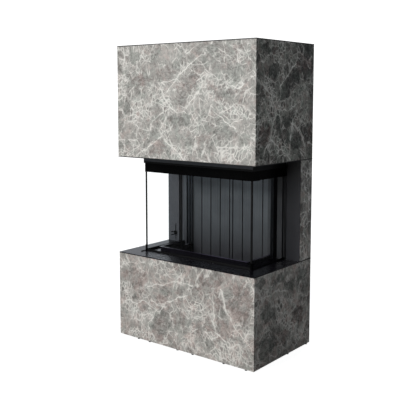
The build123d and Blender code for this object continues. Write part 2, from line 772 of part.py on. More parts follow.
# Black cheek panels that face the column on both sides of the glass
cheek_gap = 14.0
cheek_x = x_glass + cheek_gap
cheek_lip = 20.0
lever_slot_rise = 10.0
lever_slot_z0 = z_base + lever_slot_rise
lever_slot_h = 116.0
lever_slot_w = 8.0
lever_slot_mid = lever_slot_z0 + lever_slot_h / 2
for side, side_name in zip(sides, ("left", "right")):
    with BuildPart() as cheek_panel:
        block(side * cheek_x, side * x_out, y_cheek, y_cheek + cheek_t, z_base, z_column_top)
        block(side * cheek_x, side * (cheek_x + cheek_t), y_cheek + cheek_t, y_cheek + cheek_t + cheek_lip,
              z_base, z_column_top)
        if side * lever_x > 0:
            with BuildSketch(Plane.XZ.offset(-y_cheek)):
                with Locations((lever_x, lever_slot_mid)):
                    SlotOverall(lever_slot_h, lever_slot_w, rotation=90)
            extrude(amount=-cheek_t, mode=Mode.SUBTRACT)
    save(cheek_panel.part, side_name + "_cheek_panel")

# Door rails: upright channels that hold the guide shoes, with brackets to the hood frame
channel_gap = 4.0
channel_w = 24.0
channel_depth = 24.0
channel_lip = 8.0
channel_over = 21.0
shoe_h = 40.0
shoe_rise = 6.0
shoe_levels = (z_base + shoe_h, z_rail + shoe_rise)
channel_rise = shoe_levels[1] + shoe_h + lift_travel + channel_over - z_base
channel_x0 = firebox_half_w + channel_gap
channel_x1 = channel_x0 + channel_w
channel_y0 = y_groove_back + channel_gap
channel_y1 = channel_y0 + channel_depth
bracket_h = 20.0
bracket_inset = 8.0
with BuildPart() as guide_rails:
    for side in sides:
        with BuildSketch(Plane.XY.offset(z_base)):
            plan(side * channel_x0, side * channel_x1, channel_y0, channel_y1)
            plan(side * (channel_x0 + sheet_t), side * (channel_x1 - sheet_t),
                 channel_y0 + sheet_t, channel_y1 - sheet_t, Mode.SUBTRACT)
            plan(side * (channel_x0 + channel_lip), side * (channel_x1 - channel_lip),
                 channel_y0, channel_y0 + sheet_t, Mode.SUBTRACT)
        extrude(amount=channel_rise)
        block(side * (channel_x0 + bracket_inset), side * (channel_x1 - bracket_inset),
              channel_y1, y_panel - member_w, z_hood + bracket_h, z_hood + 2 * bracket_h)
save(guide_rails.part, "guide_rails")

# The three panes of the door. The side panes butt behind the corner strips.
rail_clamp_h = 29.0
z_glass_top = z_rail + rail_clamp_h - seat_gap
pane_arris = 0.5
with BuildPart() as front_glass:
    block(-x_glass_in, x_glass_in, y_glass, y_glass_in, z_glass, z_glass_top)
save(front_glass.part, "front_glass")
for side, side_name in zip(sides, ("left", "right")):
    with BuildPart() as side_glass:
        block(side * x_glass_in, side * x_glass, y_glass_in, y_glass_back, z_glass, z_glass_top)
    save(side_glass.part, side_name + "_glass")

with BuildPart() as glass_corner_strips:
    for side in sides:
        block(side * x_glass_in, side * x_glass, y_glass, y_glass_in, z_glass, z_glass_top)
    chamfer(glass_corner_strips.edges().filter_by(Axis.Z).group_by(Axis.Y)[0].sort_by(Axis.X)[0], pane_arris)
    chamfer(glass_corner_strips.edges().filter_by(Axis.Z).group_by(Axis.Y)[0].sort_by(Axis.X)[-1], pane_arris)
save(glass_corner_strips.part, "glass_corner_strips")

# Top rail of the door: a box section with a clamp below that grips the glass
stile_depth = 20.0
stile_gap = 6.0
y_stile = y_cheek + stile_gap
y_stile_back = y_stile + stile_depth
clamp_wall = 2.0
with BuildPart() as door_top_rail:
    with BuildSketch(Plane.XY.offset(z_rail + rail_clamp_h)):
        plan_u(x_rail, y_rail, rail_depth, y_stile_back)
    extrude(amount=rail_h - rail_clamp_h)
    with BuildSketch(Plane.XY.offset(z_rail + rail_clamp_h + rail_wall)):
        plan_u(x_rail - rail_wall, y_rail + rail_wall, rail_depth - 2 * rail_wall, y_stile_back - rail_wall)
    extrude(amount=rail_h - rail_clamp_h - 2 * rail_wall, mode=Mode.SUBTRACT)
    with BuildSketch(Plane.XY.offset(z_rail)):
        plan_u(x_rail, y_rail, rail_wall + glass_t + 2 * seat_gap + clamp_wall, y_stile_back)
    extrude(amount=rail_clamp_h)
    with BuildSketch(Plane.XY.offset(z_rail)):
        plan_u(x_glass + seat_gap, y_glass - seat_gap, glass_t + 2 * seat_gap, y_glass_back + seat_gap)
    extrude(amount=rail_clamp_h, mode=Mode.SUBTRACT)
save(door_top_rail.part, "door_top_rail")

# Stiles that hold the back edges of the side panes
stile_side = 5.0
stile_x0 = x_glass_in - stile_side
stile_x1 = x_glass + stile_side
with BuildPart() as door_stiles:
    for side in sides:
        with BuildSketch(Plane.XY.offset(z_glass)):
            plan(side * stile_x0, side * stile_x1, y_stile, y_stile_back)
            plan(side * (x_glass_in - seat_gap), side * (x_glass + seat_gap),
                 y_stile, y_glass_back + seat_gap, Mode.SUBTRACT)
        extrude(amount=z_rail - seat_gap - z_glass)
save(door_stiles.part, "door_stiles")

# Guide shoes behind the stiles, and the clamps that grip the front run of each chain
channel_mid = (channel_x0 + channel_x1) / 2
chain_side = 14.0
chain_x = channel_x1 + chain_side
neck_w = 6.0
head_w = channel_w - 2 * sheet_t - 2 * slide_gap
clamp_t = 4.0
clamp_grip_w = 10.0
clamp_grip_depth = 12.2
clamp_h = 30.0
clamp_y = y_stile_back + clamp_t + clamp_grip_depth
chain_y = clamp_y + seat_gap + chain_t / 2 + sprocket_r
with BuildPart() as guide_shoes:
    for side in sides:
        neck_x = side * (channel_mid + neck_w / 2)
        for level in shoe_levels:
            block(side * (channel_mid - neck_w / 2), neck_x,
                  y_stile_back, channel_y0 + sheet_t + slide_gap, level, level + shoe_h)
            block(side * (channel_mid - head_w / 2), side * (channel_mid + head_w / 2),
                  channel_y0 + sheet_t + slide_gap, channel_y1 - sheet_t - slide_gap, level, level + shoe_h)
        z_clamp = shoe_levels[1] + (shoe_h - clamp_h) / 2
        block(neck_x, side * (chain_x + clamp_grip_w / 2), y_stile_back, y_stile_back + clamp_t,
              z_clamp, z_clamp + clamp_h)
        block(side * (chain_x - clamp_grip_w / 2), side * (chain_x + clamp_grip_w / 2),
              y_stile_back + clamp_t, clamp_y, z_clamp, z_clamp + clamp_h)
save(guide_shoes.part, "guide_shoes")

# Clips round the bottom corners of the glass; the left one has the tab that the door is lifted by
clip_t = 2.0
clip_leg = 14.0
clip_rise = 41.0
tab_len = 44.0
tab_w = 5.0
tab_t = 4.0
clip_x = x_glass + seat_gap + clip_t
clip_y = y_glass - seat_gap - clip_t
with BuildPart() as glass_corner_clips:
    for side in sides:
        block(side * (clip_x - clip_leg), side * clip_x, clip_y, clip_y + clip_t,
              z_ledge, z_base + clip_rise)
        block(side * (clip_x - clip_t), side * clip_x, clip_y, clip_y + clip_leg,
              z_ledge, z_base + clip_rise)
    block(-clip_x, -clip_x + tab_w, clip_y - tab_len, clip_y, z_base + slide_gap, z_base + slide_gap + tab_t)
save(glass_corner_clips.part, "glass_corner_clips")

# Endless chains, one at each side, drawn as plain loops
chain_mid_z = (shaft_z + idler_z) / 2
chain_span = shaft_z - idler_z
with BuildPart() as lift_chains:
    for side in sides:
        with BuildSketch(Plane.YZ.offset(side * chain_x - chain_w / 2)):
            with Locations((chain_y, chain_mid_z)):
                SlotCenterToCenter(chain_span, 2 * sprocket_r + chain_t, rotation=90)
                SlotCenterToCenter(chain_span, 2 * sprocket_r - chain_t, rotation=90, mode=Mode.SUBTRACT)
        extrude(amount=chain_w)
save(lift_chains.part, "lift_chains")

# Toothed wheels: twelve teeth with round gullets
teeth = 12
wheel_r = sprocket_r - chain_t / 2 - seat_gap
gullet_r = 3.4
wheel_w = chain_w - slide_gap
hub_r = 13.0
hub_w = 20.0
shaft_r = 8.0
axle_r = 6.0
bracket_t = 6.0
bracket_x = post_x - bracket_t
collar_w = 5.0
shaft_end = 6.0
with BuildPart() as lift_shaft:
    with BuildSketch(Plane.YZ.offset(-bracket_x - bracket_t - shaft_end)):
        with Locations((chain_y, shaft_z)):
            Circle(shaft_r)
    extrude(amount=2 * (bracket_x + bracket_t + shaft_end))
    for side in sides:
        with BuildSketch(Plane.YZ.offset(side * chain_x - hub_w / 2)):
            with Locations((chain_y, shaft_z)):
                Circle(hub_r)
        extrude(amount=hub_w)
        with BuildSketch(Plane.YZ.offset(side * chain_x - wheel_w / 2)):
            with Locations((chain_y, shaft_z)):
                Circle(wheel_r)
                with PolarLocations(wheel_r, teeth):
                    Circle(gullet_r, mode=Mode.SUBTRACT)
        extrude(amount=wheel_w)
save(lift_shaft.part, "lift_shaft")

with BuildPart() as idler_sprockets:
    for side in sides:
        with BuildSketch(Plane.YZ.offset(side * chain_x - hub_w / 2)):
            with Locations((chain_y, idler_z)):
                Circle(hub_r)
                Circle(axle_r + shaft_gap, mode=Mode.SUBTRACT)
        extrude(amount=hub_w)
        with BuildSketch(Plane.YZ.offset(side * chain_x - wheel_w / 2)):
            with Locations((chain_y, idler_z)):
                Circle(wheel_r)
                with PolarLocations(wheel_r, teeth):
                    Circle(gullet_r, mode=Mode.SUBTRACT)
                Circle(axle_r + shaft_gap, mode=Mode.SUBTRACT)
        extrude(amount=wheel_w)
save(idler_sprockets.part, "idler_sprockets")

# Plates on the rear posts: bearings for the shaft above, stub axles for the idlers below
plate_front = 20.0
bearing_rise = 40.0
bearing_drop = 25.0
idler_rise = 24.0
idler_drop = 30.0
with BuildPart() as sprocket_brackets:
    for side in sides:
        block(side * bracket_x, side * (bracket_x + bracket_t), chain_y - plate_front, y_panel - post_w,
              shaft_z - bearing_drop, shaft_z + bearing_rise)
        block(side * bracket_x, side * (bracket_x + bracket_t), chain_y - plate_front, y_panel - post_w,
              idler_z - idler_drop, idler_z + idler_rise)
    with BuildSketch(Plane.YZ.offset(-x_out)):
        with Locations((chain_y, shaft_z)):
            Circle(shaft_r + shaft_gap)
    extrude(amount=stove_w, mode=Mode.SUBTRACT)
    for side in sides:
        with BuildSketch(Plane.YZ.offset(side * (chain_x - hub_w / 2))):
            with Locations((chain_y, idler_z)):
                Circle(axle_r)
        extrude(amount=side * (bracket_x - chain_x + hub_w / 2))
save(sprocket_brackets.part, "sprocket_brackets")

# Counterweights that run between the chain runs and clip to the rear run
weight_gap = 2.0
weight_chain_gap = 1.5
weight_drop = 45.0
weight_room = 39.0
fin_t = 4.0
fin_h = 40.0
weight_x0 = channel_x1 + weight_gap
weight_x1 = gear_half_x - weight_gap
weight_d = 2 * (sprocket_r - chain_t / 2 - weight_chain_gap)
weight_y1 = chain_y + weight_d / 2
weight_top = shaft_z - weight_drop
weight_h = weight_top - lift_travel - weight_room - idler_z
fin_depth = chain_t + 2 * weight_chain_gap
with BuildPart() as counterweights:
    for side in sides:
        block(side * weight_x0, side * weight_x1, chain_y - weight_d / 2, weight_y1,
              weight_top - weight_h, weight_top)
        for near in sides:
            fin_x = side * chain_x + near * (chain_w / 2 + seat_gap + fin_t / 2)
            block(fin_x - fin_t / 2, fin_x + fin_t / 2, weight_y1, weight_y1 + fin_depth,
                  weight_top - weight_h / 2, weight_top - weight_h / 2 + fin_h)
save(counterweights.part, "counterweights")

# Air lever: two prongs on a round boss, a stem through the slot and the rod behind the cheek
lever_rise = 62.0
lever_z = z_base + lever_rise
boss_r = 14.0
boss_t = 6.0
boss_gap = 0.5
prong_w = 5.0
prong_len = 44.0
prong_spread = 22.0
stem_r = 3.2
gate_low = 3.0
gate_h = 110.0
gate_neck_h = 43.0
gate_bottom = spigot_z - gate_low
tab_top = gate_bottom + gate_h + gate_neck_h
with BuildPart() as air_lever:
    with BuildSketch(Plane.XZ.offset(-(y_cheek - boss_gap))):
        with Locations((lever_x, lever_z)):
            Circle(boss_r)
    extrude(amount=boss_t)
    for side in sides:
        prong_z = lever_z + side * prong_spread / 2
        block(lever_x - prong_w / 2, lever_x + prong_w / 2, y_cheek - boss_gap - boss_t - prong_len,
              y_cheek - boss_gap - boss_t, prong_z - prong_w / 2, prong_z + prong_w / 2)
    with BuildSketch(Plane.XZ.offset(-(y_cheek - boss_gap))):
        with Locations((lever_x, lever_z)):
            Circle(stem_r)
    extrude(amount=-(rod_y - y_cheek + boss_gap))
    with BuildSketch(Plane.XY.offset(tab_top)):
        with Locations((lever_x, rod_y)):
            Circle(rod_r)
    extrude(amount=lever_z + rod_r - tab_top)
save(air_lever.part, "air_lever")

# Air box beside the ash well, with a window that the gate closes
box_side = 70.0
box_d = 130.0
box_half_h = 85.0
gate_side = 66.0
gate_t = 3.0
gate_play = 4.0
gate_neck_w = 30.0
tab_h = 15.0
window_half_w = 55.0
window_half_h = 50.0
guide_w = 6.0
box_x0 = spigot_x - box_side
box_y1 = rod_y - gate_t / 2 - gate_play
box_y0 = box_y1 - box_d
box_z0 = spigot_z - box_half_h
box_z1 = spigot_z + box_half_h
gate_room = gate_t + gate_play + slide_gap
gate_x0 = spigot_x - gate_side
gate_x1 = spigot_x + gate_side
with BuildPart() as air_box:
    block(box_x0, -well_x, box_y0, box_y1, box_z0, box_z1)
    block(box_x0 + panel_t, -well_x - panel_t, box_y0 + panel_t, box_y1 - panel_t,
          box_z0 + panel_t, box_z1 - panel_t, Mode.SUBTRACT)
    block(-well_x - panel_t, -well_x, port_y0, port_y1, port_z0, port_z0 + port_h, Mode.SUBTRACT)
    block(spigot_x - window_half_w, spigot_x + window_half_w, box_y1 - panel_t, box_y1,
          spigot_z - window_half_h, spigot_z + window_half_h, Mode.SUBTRACT)
save(air_box.part, "air_box")

# Housing that the gate slides in, between the air box and the spigot
flange_x0 = gate_x0 - guide_w - slide_gap
flange_x1 = gate_x1 + guide_w + slide_gap
flange_y0 = box_y1 + gate_room
flange_y1 = flange_y0 + sheet_t
with BuildPart() as gate_housing:
    block(flange_x0, flange_x1, flange_y0, flange_y1, box_z0, box_z1)
    for edge, inward in ((flange_x0, 1), (flange_x1, -1)):
        block(edge, edge + inward * guide_w, box_y1, flange_y0, box_z0, box_z1)
    with BuildSketch(Plane.XZ.offset(-flange_y0)):
        with Locations((spigot_x, spigot_z)):
            Circle(spigot_r)
    extrude(amount=-sheet_t, mode=Mode.SUBTRACT)
save(gate_housing.part, "gate_housing")

# Round spigot for an outside air duct, welded to the housing
with BuildPart() as air_spigot:
    with BuildSketch(Plane.XZ.offset(-flange_y1)):
        with Locations((spigot_x, spigot_z)):
            Circle(spigot_r + spigot_t)
            Circle(spigot_r, mode=Mode.SUBTRACT)
    extrude(amount=-(y_back - flange_y1))
save(air_spigot.part, "air_spigot")

# Sliding gate on the lever's rod
gate_y0 = rod_y - gate_t / 2
with BuildPart() as air_gate:
    block(gate_x0, gate_x1, gate_y0, gate_y0 + gate_t, gate_bottom, gate_bottom + gate_h)
    block(gate_x0, gate_x0 + gate_neck_w, gate_y0, gate_y0 + gate_t, gate_bottom, tab_top)
    block(lever_x - rod_r, gate_x0 + gate_neck_w, gate_y0, gate_y0 + gate_t, tab_top - tab_h, tab_top)
save(air_gate.part, "air_gate")
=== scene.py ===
import json
import math

import bpy
from mathutils import Euler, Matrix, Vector

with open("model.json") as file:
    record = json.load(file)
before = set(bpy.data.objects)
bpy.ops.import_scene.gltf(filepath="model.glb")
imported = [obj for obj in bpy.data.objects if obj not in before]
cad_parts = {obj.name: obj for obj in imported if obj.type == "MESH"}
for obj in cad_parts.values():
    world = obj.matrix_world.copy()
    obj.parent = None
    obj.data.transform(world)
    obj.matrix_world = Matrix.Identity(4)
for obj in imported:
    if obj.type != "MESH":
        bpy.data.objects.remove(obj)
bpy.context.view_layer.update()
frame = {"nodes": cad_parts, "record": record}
nodes = frame["nodes"]

# The sockets of the Mix node when it mixes colours
first_colour = 6
second_colour = 7
mixed_colour = 2

# Results of the Vector Math node that are plain numbers
plain_results = ("LENGTH", "DOT_PRODUCT")


def opaque(colour):
    """A socket as it is, and a colour of three numbers with its alpha."""
    return colour if isinstance(colour, bpy.types.NodeSocket) else (*colour, 1.0)


class Tree:
    """A material's node tree, with short ways to add nodes, maths and mixes."""

    def __init__(self, name):
        self.material = bpy.data.materials.new(name)
        self.material.use_nodes = True
        self.tree = self.material.node_tree
        self.tree.nodes.clear()
        self.output = self.add("OutputMaterial")
        self.place = self.add("TexCoord").outputs["Object"]
        self.axes = None

    def add(self, kind, settings=None, **inputs):
        """A node of that kind, with its settings and its inputs by name."""
        node = self.tree.nodes.new("ShaderNode" + kind)
        for name, value in (settings or {}).items():
            setattr(node, name, value)
        for name, value in inputs.items():
            self.put(node.inputs[name.replace("_", " ")], value)
        return node

    def put(self, socket, value):
        """Link the input to another node's output, or set it to a value."""
        if isinstance(value, bpy.types.NodeSocket):
            self.tree.links.new(value, socket)
        else:
            socket.default_value = value

    def axis(self, letter):
        """The place along one axis of the part: X to the right, Y to the back, Z up."""
        if self.axes is None:
            self.axes = self.add("SeparateXYZ", Vector=self.place)
        return self.axes.outputs[letter]

    def maths(self, operation, *values):
        """The result of an operation on one to three numbers."""
        node = self.add("Math", {"operation": operation})
        for socket, value in zip(node.inputs, values):
            self.put(socket, value)
        return node.outputs[0]

    def chain(self, operation, result, *others):
        """The result of an operation that is repeated over any count of numbers."""
        for other in others:
            result = self.maths(operation, result, other)
        return result

    def product(self, *values):
        return self.chain("MULTIPLY", *values)

    def total(self, *values):
        return self.chain("ADD", *values)

    def largest(self, *values):
        return self.chain("MAXIMUM", *values)

    def vector(self, operation, *values):
        """The result of an operation on vectors."""
        node = self.add("VectorMath", {"operation": operation})
        for socket, value in zip(node.inputs, values):
            self.put(socket, value)
        return node.outputs["Value" if operation in plain_results else "Vector"]

    def scaled(self, vector, factor):
        """The vector or colour times a number."""
        return self.add("VectorMath", {"operation": "SCALE"}, Vector=vector, Scale=factor).outputs["Vector"]

    def ramp(self, value, low, high, to_low=0.0, to_high=1.0, smooth=True):
        """The value carried from one range to another and held beyond it, with soft ends if smooth."""
        node = self.add("MapRange", {"interpolation_type": "SMOOTHSTEP" if smooth else "LINEAR"}, Value=value,
                        From_Min=low, From_Max=high, To_Min=to_low, To_Max=to_high)
        return node.outputs["Result"]

    def window(self, value, rise, fall):
        """1 between two places and 0 beyond them. Each place is a short range in which it changes."""
        return self.product(self.ramp(value, *rise), self.ramp(value, *fall, 1.0, 0.0))

    def mix(self, factor, first, second, blend="MIX"):
        """Two colours mixed."""
        node = self.add("Mix", {"data_type": "RGBA", "blend_type": blend}, Factor=factor)
        self.put(node.inputs[first_colour], opaque(first))
        self.put(node.inputs[second_colour], opaque(second))
        return node.outputs[mixed_colour]

    def noise(self, place, scale, detail=3.0, roughness=0.55, colour=False):
        """Soft noise, a number or a colour, with so many cells a metre."""
        node = self.add("TexNoise", Vector=place, Scale=scale, Detail=detail, Roughness=roughness)
        return node.outputs["Color" if colour else "Fac"]

    def cells(self, place, scale, feature="F1"):
        """A node of cells round scattered points, so many a metre."""
        return self.add("TexVoronoi", {"feature": feature}, Vector=place, Scale=scale)

    def bump(self, height, strength, distance):
        """The normal of a rough skin."""
        return self.add("Bump", Height=height, Strength=strength, Distance=distance).outputs["Normal"]

    def principled(self, colour, roughness, normal=None, metallic=0.0, **plain):
        """The surface shader. Numbers in plain go on its own sockets."""
        node = self.add("BsdfPrincipled", Base_Color=opaque(colour), Roughness=roughness, Metallic=metallic,
                        **plain)
        if normal is not None:
            self.put(node.inputs["Normal"], normal)
        return node

    def blend(self, factor, first, second):
        """Two shaders mixed."""
        node = self.add("MixShader")
        for socket, value in zip(node.inputs, (factor, first.outputs[0], second.outputs[0])):
            self.put(socket, value)
        return node

    def finish(self, shader):
        """The material, with this shader as its surface."""
        self.put(self.output.inputs["Surface"], shader.outputs[0])
        return self.material


def warped(t, place, scale, amount, detail=2.0):
    """The place pushed about by coloured noise, so that straight cell edges turn into wavy ones."""
    push = t.vector("SUBTRACT", t.noise(place, scale, detail=detail, colour=True), (0.5, 0.5, 0.5))
    return t.vector("ADD", place, t.scaled(push, amount))


def vein(t, distance, width):
    """1 on a line, falling to 0 at that distance from it."""
    return t.ramp(distance, 0.0, width, 1.0, 0.0)


def shards(t, place, scale, turn, stretch):
    """Broken cells, stretched along a turned axis: the distance to their edges, and their random tones."""
    mapping = t.add("Mapping", {"vector_type": "TEXTURE"}, Vector=place, Rotation=turn, Scale=stretch)
    turned = mapping.outputs["Vector"]
    edge = t.cells(turned, scale, feature="DISTANCE_TO_EDGE").outputs["Distance"]
    tones = t.add("SeparateColor", Color=t.cells(turned, scale).outputs["Color"])
    return edge, tones


# What four slabs show: place along the slab and up, half length, half width (metres) and lean (degrees)
hood_marks = {
    "rose": (
        (0.040, 1.682, 0.088, 0.056, 30.0), (0.005, 1.593, 0.054, 0.034, -15.0),
        (-0.137, 1.762, 0.045, 0.050, 0.0), (-0.335, 1.722, 0.095, 0.042, 5.0),
        (0.157, 1.367, 0.045, 0.034, 60.0), (-0.210, 1.290, 0.080, 0.050, 10.0),
        (0.217, 1.673, 0.038, 0.022, -10.0), (0.383, 1.642, 0.044, 0.020, 5.0),
    ),
    "green": (
        (0.023, 1.473, 0.050, 0.042, 20.0), (-0.223, 1.393, 0.054, 0.044, 55.0),
        (0.325, 1.410, 0.074, 0.038, -12.0), (0.070, 1.347, 0.038, 0.028, 20.0),
        (0.403, 1.765, 0.070, 0.062, 0.0), (-0.070, 1.473, 0.034, 0.030, 0.0),
        (-0.470, 1.553, 0.048, 0.036, 80.0), (-0.223, 1.887, 0.042, 0.030, 0.0),
        (-0.410, 1.862, 0.066, 0.034, 0.0), (0.240, 1.895, 0.048, 0.036, 0.0),
    ),
    "crushed": (
        (-0.130, 1.565, 0.095, 0.055, -50.0), (-0.370, 1.520, 0.115, 0.080, 20.0),
        (0.420, 1.530, 0.140, 0.045, -8.0), (0.400, 1.290, 0.150, 0.055, 10.0),
        (-0.140, 1.400, 0.035, 0.080, 15.0), (-0.020, 1.262, 0.110, 0.045, -30.0),
    ),
    "pale": (
        (-0.083, 1.867, 0.120, 0.050, 0.0), (0.170, 1.553, 0.090, 0.065, 20.0),
        (-0.023, 1.393, 0.070, 0.036, 0.0),
    ),
    "veins": (
        ((-0.187, 1.703), (-0.150, 1.620), (-0.110, 1.573), (-0.043, 1.513), (0.050, 1.513)),
        ((-0.150, 1.620), (-0.057, 1.710), (0.003, 1.773), (0.177, 1.880)),
        ((-0.167, 1.703), (-0.043, 1.727)), ((0.043, 1.540), (0.117, 1.627), (0.167, 1.697)),
        ((0.260, 1.527), (0.363, 1.453), (0.450, 1.480)), ((0.363, 1.453), (0.417, 1.433)),
        ((0.450, 1.747), (0.463, 1.687), (0.417, 1.660), (0.383, 1.687)),
        ((-0.177, 1.387), (-0.150, 1.347), (-0.057, 1.293), (0.020, 1.232)),
        ((-0.170, 1.360), (-0.383, 1.240)), ((0.277, 1.313), (0.500, 1.333)),
    ),
}
plinth_marks = {
    "rose": (
        (0.330, 0.200, 0.095, 0.066, 70.0), (0.297, 0.362, 0.044, 0.040, 0.0),
        (-0.203, 0.069, 0.056, 0.034, -20.0), (-0.330, 0.222, 0.052, 0.038, 10.0),
        (-0.400, 0.415, 0.098, 0.072, 0.0), (-0.163, 0.302, 0.066, 0.030, 5.0),
        (0.217, 0.496, 0.070, 0.036, -5.0), (0.217, 0.222, 0.046, 0.032, 80.0),
        (0.450, 0.400, 0.115, 0.090, 75.0),
    ),
    "green": (
        (-0.170, 0.156, 0.098, 0.062, 20.0), (-0.157, 0.369, 0.044, 0.032, 0.0),
        (-0.017, 0.409, 0.028, 0.024, 0.0), (0.023, 0.196, 0.056, 0.026, 10.0),
        (-0.417, 0.282, 0.030, 0.018, 0.0), (-0.097, 0.542, 0.040, 0.020, 0.0),
        (0.217, 0.109, 0.034, 0.026, 0.0), (-0.510, 0.176, 0.032, 0.022, 0.0),
    ),
    "crushed": (
        (-0.380, 0.165, 0.095, 0.050, -30.0), (-0.330, 0.050, 0.150, 0.035, 0.0),
        (0.100, 0.300, 0.090, 0.055, 30.0), (-0.500, 0.330, 0.050, 0.060, 0.0),
        (0.330, 0.060, 0.130, 0.035, 15.0),
    ),
    "pale": (
        (-0.250, 0.410, 0.070, 0.032, 10.0), (-0.410, 0.185, 0.060, 0.045, 0.0),
        (0.030, 0.090, 0.120, 0.045, 5.0),
    ),
    "veins": (
        ((-0.510, 0.236), (-0.463, 0.256), (-0.390, 0.236), (-0.317, 0.269)),
        ((-0.323, 0.376), (-0.150, 0.409), (-0.023, 0.452), (0.090, 0.440)),
        ((0.217, 0.396), (0.247, 0.369), (0.260, 0.216), (0.277, 0.169), (0.230, 0.136), (0.190, 0.166)),
        ((0.277, 0.189), (0.363, 0.116), (0.450, 0.142), (0.450, 0.062)),
        ((0.310, 0.469), (0.363, 0.322), (0.397, 0.249), (0.470, 0.202)),
        ((0.477, 0.182), (0.517, 0.242)), ((-0.203, 0.236), (-0.283, 0.116), (-0.277, 0.082)),
        ((-0.350, 0.169), (-0.243, 0.196)), ((-0.117, 0.296), (0.037, 0.376)),
        ((-0.263, 0.289), (-0.123, 0.259)),
    ),
}
hood_side_marks = {
    "rose": (
        (0.182, 1.820, 0.100, 0.050, 25.0), (-0.245, 1.393, 0.070, 0.048, 40.0),
        (0.262, 1.393, 0.075, 0.055, 60.0),
    ),
    "green": (
        (0.028, 1.687, 0.125, 0.060, 35.0), (-0.138, 1.767, 0.060, 0.047, 10.0),
        (-0.225, 1.887, 0.042, 0.033, 0.0), (0.255, 1.900, 0.060, 0.046, 0.0),
        (0.008, 1.473, 0.055, 0.040, 0.0), (-0.085, 1.467, 0.034, 0.030, 0.0),
        (0.102, 1.353, 0.090, 0.056, -20.0), (-0.232, 1.287, 0.074, 0.040, -10.0),
        (0.240, 1.753, 0.060, 0.044, 0.0),
    ),
    "crushed": (
        (-0.178, 1.660, 0.100, 0.055, -45.0), (-0.125, 1.540, 0.110, 0.080, 0.0),
        (-0.058, 1.313, 0.120, 0.060, -35.0), (0.075, 1.447, 0.040, 0.060, 20.0),
    ),
    "pale": (
        (0.182, 1.580, 0.120, 0.075, 0.0), (-0.218, 1.813, 0.080, 0.030, 20.0),
        (-0.018, 1.860, 0.090, 0.040, 0.0),
    ),
    "veins": (
        ((-0.245, 1.687), (-0.165, 1.620), (-0.112, 1.540), (-0.178, 1.367), (-0.245, 1.287)),
        ((-0.072, 1.673), (0.008, 1.753), (0.115, 1.820)),
        ((-0.105, 1.540), (0.022, 1.540), (0.115, 1.567)),
        ((-0.192, 1.380), (-0.072, 1.313), (0.048, 1.233)),
        ((0.075, 1.447), (0.048, 1.367), (0.035, 1.273)),
    ),
}
plinth_side_marks = {
    "rose": (
        (0.182, 0.242, 0.070, 0.066, 0.0), (0.008, 0.129, 0.080, 0.044, 0.0),
    ),
    "green": (
        (-0.185, 0.122, 0.100, 0.068, 20.0), (-0.178, 0.322, 0.078, 0.056, 0.0),
        (-0.258, 0.529, 0.056, 0.030, 0.0), (0.222, 0.482, 0.075, 0.056, 80.0),
        (0.075, 0.446, 0.062, 0.040, 0.0), (-0.060, 0.510, 0.060, 0.034, 10.0),
    ),
    "crushed": (
        (-0.285, 0.396, 0.085, 0.060, 80.0), (-0.045, 0.342, 0.090, 0.065, 0.0),
        (0.022, 0.236, 0.120, 0.048, -15.0), (-0.285, 0.036, 0.050, 0.040, 0.0),
        (0.222, 0.089, 0.090, 0.048, 0.0),
    ),
    "pale": (
        (0.142, 0.340, 0.080, 0.045, 0.0), (-0.100, 0.420, 0.110, 0.030, 0.0),
    ),
    "veins": (
        ((-0.312, 0.316), (-0.245, 0.422), (-0.072, 0.442), (0.035, 0.422)),
        ((0.048, 0.249), (0.142, 0.289), (0.195, 0.449)),
        ((0.275, 0.276), (0.282, 0.169), (0.222, 0.129)),
    ),
}

# The faces that carry them: the direction along the slab, the one through it, and where the face stands
sideways = Vector((1.0, 0.0, 0.0))
backward = Vector((0.0, 1.0, 0.0))
upward = Vector((0.0, 0.0, 1.0))
front_face = (sideways, backward, -0.325)
right_face = (backward, sideways, 0.550)

# How fast the ovals shrink behind their face, per square metre
oval_fade = 150.0


def squares(t, along, over, depth):
    """The square of a distance, from two of its sides and the square of the third."""
    return t.maths("MULTIPLY_ADD", along, along, t.maths("MULTIPLY_ADD", over, over, depth))


def nearest(t, reaches):
    """The smallest distance, from the squares of all of them."""
    return t.maths("SQRT", t.chain("MINIMUM", *reaches))


def spots(t, place, depth, face, table):
    """How far out from the nearest oval of the table: 0 at its middle, 1 at its rim."""
    level, through, stand = face
    reaches = []
    for across, up, half_long, half_wide, lean in table:
        turn = math.radians(lean)
        away = t.vector("SUBTRACT", place, level * across + through * stand + upward * up)
        long_way = level * math.cos(turn) + upward * math.sin(turn)
        wide_way = upward * math.cos(turn) - level * math.sin(turn)
        along = t.vector("DOT_PRODUCT", away, long_way / half_long)
        over = t.vector("DOT_PRODUCT", away, wide_way / half_wide)
        reaches.append(squares(t, along, over, depth))
    return nearest(t, reaches)


def placed_veins(t, place, depth, face, table):
    """How far away the nearest of the long white veins is, in metres."""
    level, through, stand = face
    reaches = []
    for points in table:
        for (x1, z1), (x2, z2) in zip(points, points[1:]):
            length = math.hypot(x2 - x1, z2 - z1)
            cos, sin = (x2 - x1) / length, (z2 - z1) / length
            middle = level * (x1 + x2) / 2 + through * stand + upward * (z1 + z2) / 2
            away = t.vector("SUBTRACT", place, middle)
            along = t.maths("ABSOLUTE", t.vector("DOT_PRODUCT", away, level * cos + upward * sin))
            past = t.maths("MAXIMUM", t.maths("SUBTRACT", along, length / 2), 0.0)
            over = t.vector("DOT_PRODUCT", away, upward * cos - level * sin)
            reaches.append(squares(t, past, over, depth))
    return nearest(t, reaches)


